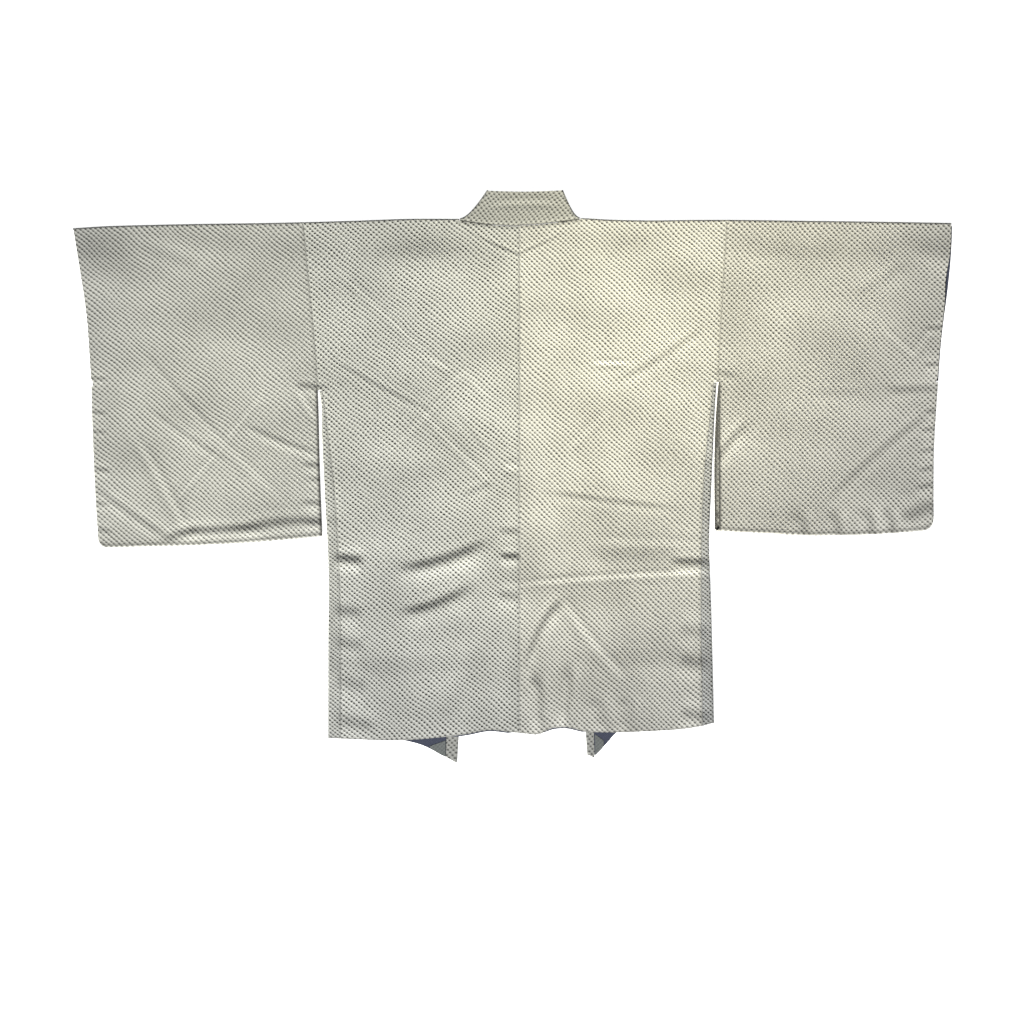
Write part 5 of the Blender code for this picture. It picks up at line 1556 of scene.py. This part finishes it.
def wrong_side_material():
    material, tree, rows, place = new_cloth("shibori_wrong_side")
    dots = use_group(tree, TIED_DOTS, rows, **GREY_DOTS)
    grain = use_group(tree, CREPE, place["Object"])[0]
    ground = blend(tree, grain, GREY_DARK, GREY_LIGHT)
    seen = blend(tree, times(tree, dots["Dots"], HALF), ground, GREY_DOT)
    surface(tree, seen, dots["Tip"], WRONG_BUMP, WRONG_ROUGH)
    return material


NAVY, WRONG_SIDE = lining_material(), wrong_side_material()
print("materials of the inside:", NAVY.name, "and", WRONG_SIDE.name)

# %% [markdown]
# ## Make the pieces and dress the model
# Each new piece takes the place of the plain panel of the same name: the panel is hidden, and only
# the piece is seen. The panel stays in the physics, and only the piece is seen. Nothing moves
# against anything else in a jacket that lies flat, so every piece rides on the one body.


def dress(piece, stands_for=True):
    """Attach a piece to the one root body, and hide the plain panel it stands for, if any."""
    panel = piece.name.removesuffix("_cloth")
    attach(piece, "root")
    if stands_for:
        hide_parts(panel)


for side in SIGN:
    dress(make_body(side, [FINISH["body_" + side], NAVY]))
    dress(make_sleeve(side, [FINISH["sleeve_" + side], NAVY]))
    dress(make_gusset(side, [FINISH["gusset_" + side], NAVY]))
    dress(make_front_lining(side, NAVY))
    dress(make_hem_facing(side, WRONG_SIDE))
    dress(make_back_lining(side, NAVY), stands_for=False)
dress(make_collar(FINISH["collar"]))
dress(make_cuff_lining("right", NAVY))

# %% [markdown]
# ## Table, camera and light
# The jacket lies on a pale table and is seen straight from above. The camera is far away with a
# long lens, which keeps the sleeves' ends from leaning. The light comes low and soft from beyond
# the hem, a little from the left: that is what shows folds in cloth that is almost flat. Beams
# from the same side lift parts of it, warmest at the right shoulder, as reflectors would; and the
# room fills the shadows a little. The table glows by itself, so that no shadow shows on it round
# the jacket, and it throws light back on the rounded edges.

# %% Table
TABLE_HALF, TABLE_WHITE, TABLE_GLOW = 6.0, 0.80, 0.90


def make_table():
    mesh = bpy.data.meshes.new("table")
    corners = [(x * TABLE_HALF, y * TABLE_HALF, 0)
               for x, y in ((-1, -1), (1, -1), (1, 1), (-1, 1))]
    mesh.from_pydata(corners, [], [(0, 1, 2, 3)])
    material = bpy.data.materials.new("table_white")
    material.use_nodes = True
    shader = material.node_tree.nodes["Principled BSDF"]
    for label, value in (("Base Color", (TABLE_WHITE, TABLE_WHITE, TABLE_WHITE, 1)),
                         ("Roughness", 0.9), ("Specular IOR Level", 0.1),
                         ("Emission Color", (1, 1, 1, 1)), ("Emission Strength", TABLE_GLOW)):
        shader.inputs[label].default_value = value
    mesh.materials.append(material)
    table_top = bpy.data.objects.new("table", mesh)
    bpy.context.scene.collection.objects.link(table_top)


make_table()
print(f"table {2 * TABLE_HALF:.0f} m wide")

# %% Camera
CAMERA_HEIGHT = 6.0
VIEW_WIDTH = 1.5155           # of the table, seen by the camera
VIEW_CENTRE = (-0.00065, -0.0533)
SENSOR = 36.0                 # millimetres across

camera = bpy.data.objects.new("camera", bpy.data.cameras.new("camera"))
camera.data.sensor_width = SENSOR
camera.data.lens = SENSOR * CAMERA_HEIGHT / VIEW_WIDTH
camera.location = (*VIEW_CENTRE, CAMERA_HEIGHT)
bpy.context.scene.collection.objects.link(camera)
bpy.context.scene.camera = camera
print(f"camera with a {camera.data.lens:.0f} mm lens")

# %% Lamps
WINDOW_SIZE = 2.80            # the side of the square, soft lamp
BEAM_SOFT = 0.15              # radius of a beam's lamp
BEAM_Y, BEAM_Z = -5.20, 2.80  # the beams stand in a row


def hang(name, kind, place, aim, power, colour):
    """Hang a lamp so that it points at a place on the table."""
    light = bpy.data.lights.new(name, kind)
    light.energy, light.color = power, colour
    made = bpy.data.objects.new(name, light)
    made.location = place
    made.rotation_euler = (Vector(aim) - Vector(place)).to_track_quat("-Z", "Y").to_euler()
    bpy.context.scene.collection.objects.link(made)
    return light


def beam(name, x, aim, cone, power, colour):
    """A lamp with a narrow beam that fades towards its edge."""
    light = hang(name, "SPOT", (x, BEAM_Y, BEAM_Z), (*aim, 0), power, colour)
    light.spot_size, light.spot_blend = math.radians(cone), 1.0
    light.shadow_soft_size = BEAM_SOFT


window = hang("window", "AREA", (-2.00, -8.70, 4.70), (0.02, 0.05, 0), 2720.0, (1.0, 0.998, 0.972))
window.size = WINDOW_SIZE
beam("left_beam", -1.62, (-0.42, 0.18), 6.0, 2200.0, (1.0, 0.97, 0.72))
beam("middle_beam", -1.22, (-0.02, 0.18), 6.0, 1400.0, (1.0, 0.97, 0.76))
beam("right_beam", -0.90, (0.30, 0.60), 8.0, 4350.0, (1.0, 0.93, 0.62))
beam("sleeve_beam", -0.65, (0.55, 0.10), 6.0, 1550.0, (1.0, 0.97, 0.84))
print("lamps:", ", ".join(light.name for light in bpy.data.lights))

# %% The room's own light
ROOM_COLOUR, ROOM_LIGHT = (0.88, 0.94, 1.0, 1), 0.12

room = bpy.data.worlds.new("room")
room.use_nodes = True
room.node_tree.nodes["Background"].inputs["Color"].default_value = ROOM_COLOUR
room.node_tree.nodes["Background"].inputs["Strength"].default_value = ROOM_LIGHT
bpy.context.scene.world = room
bpy.context.scene.view_settings.view_transform = "Standard"
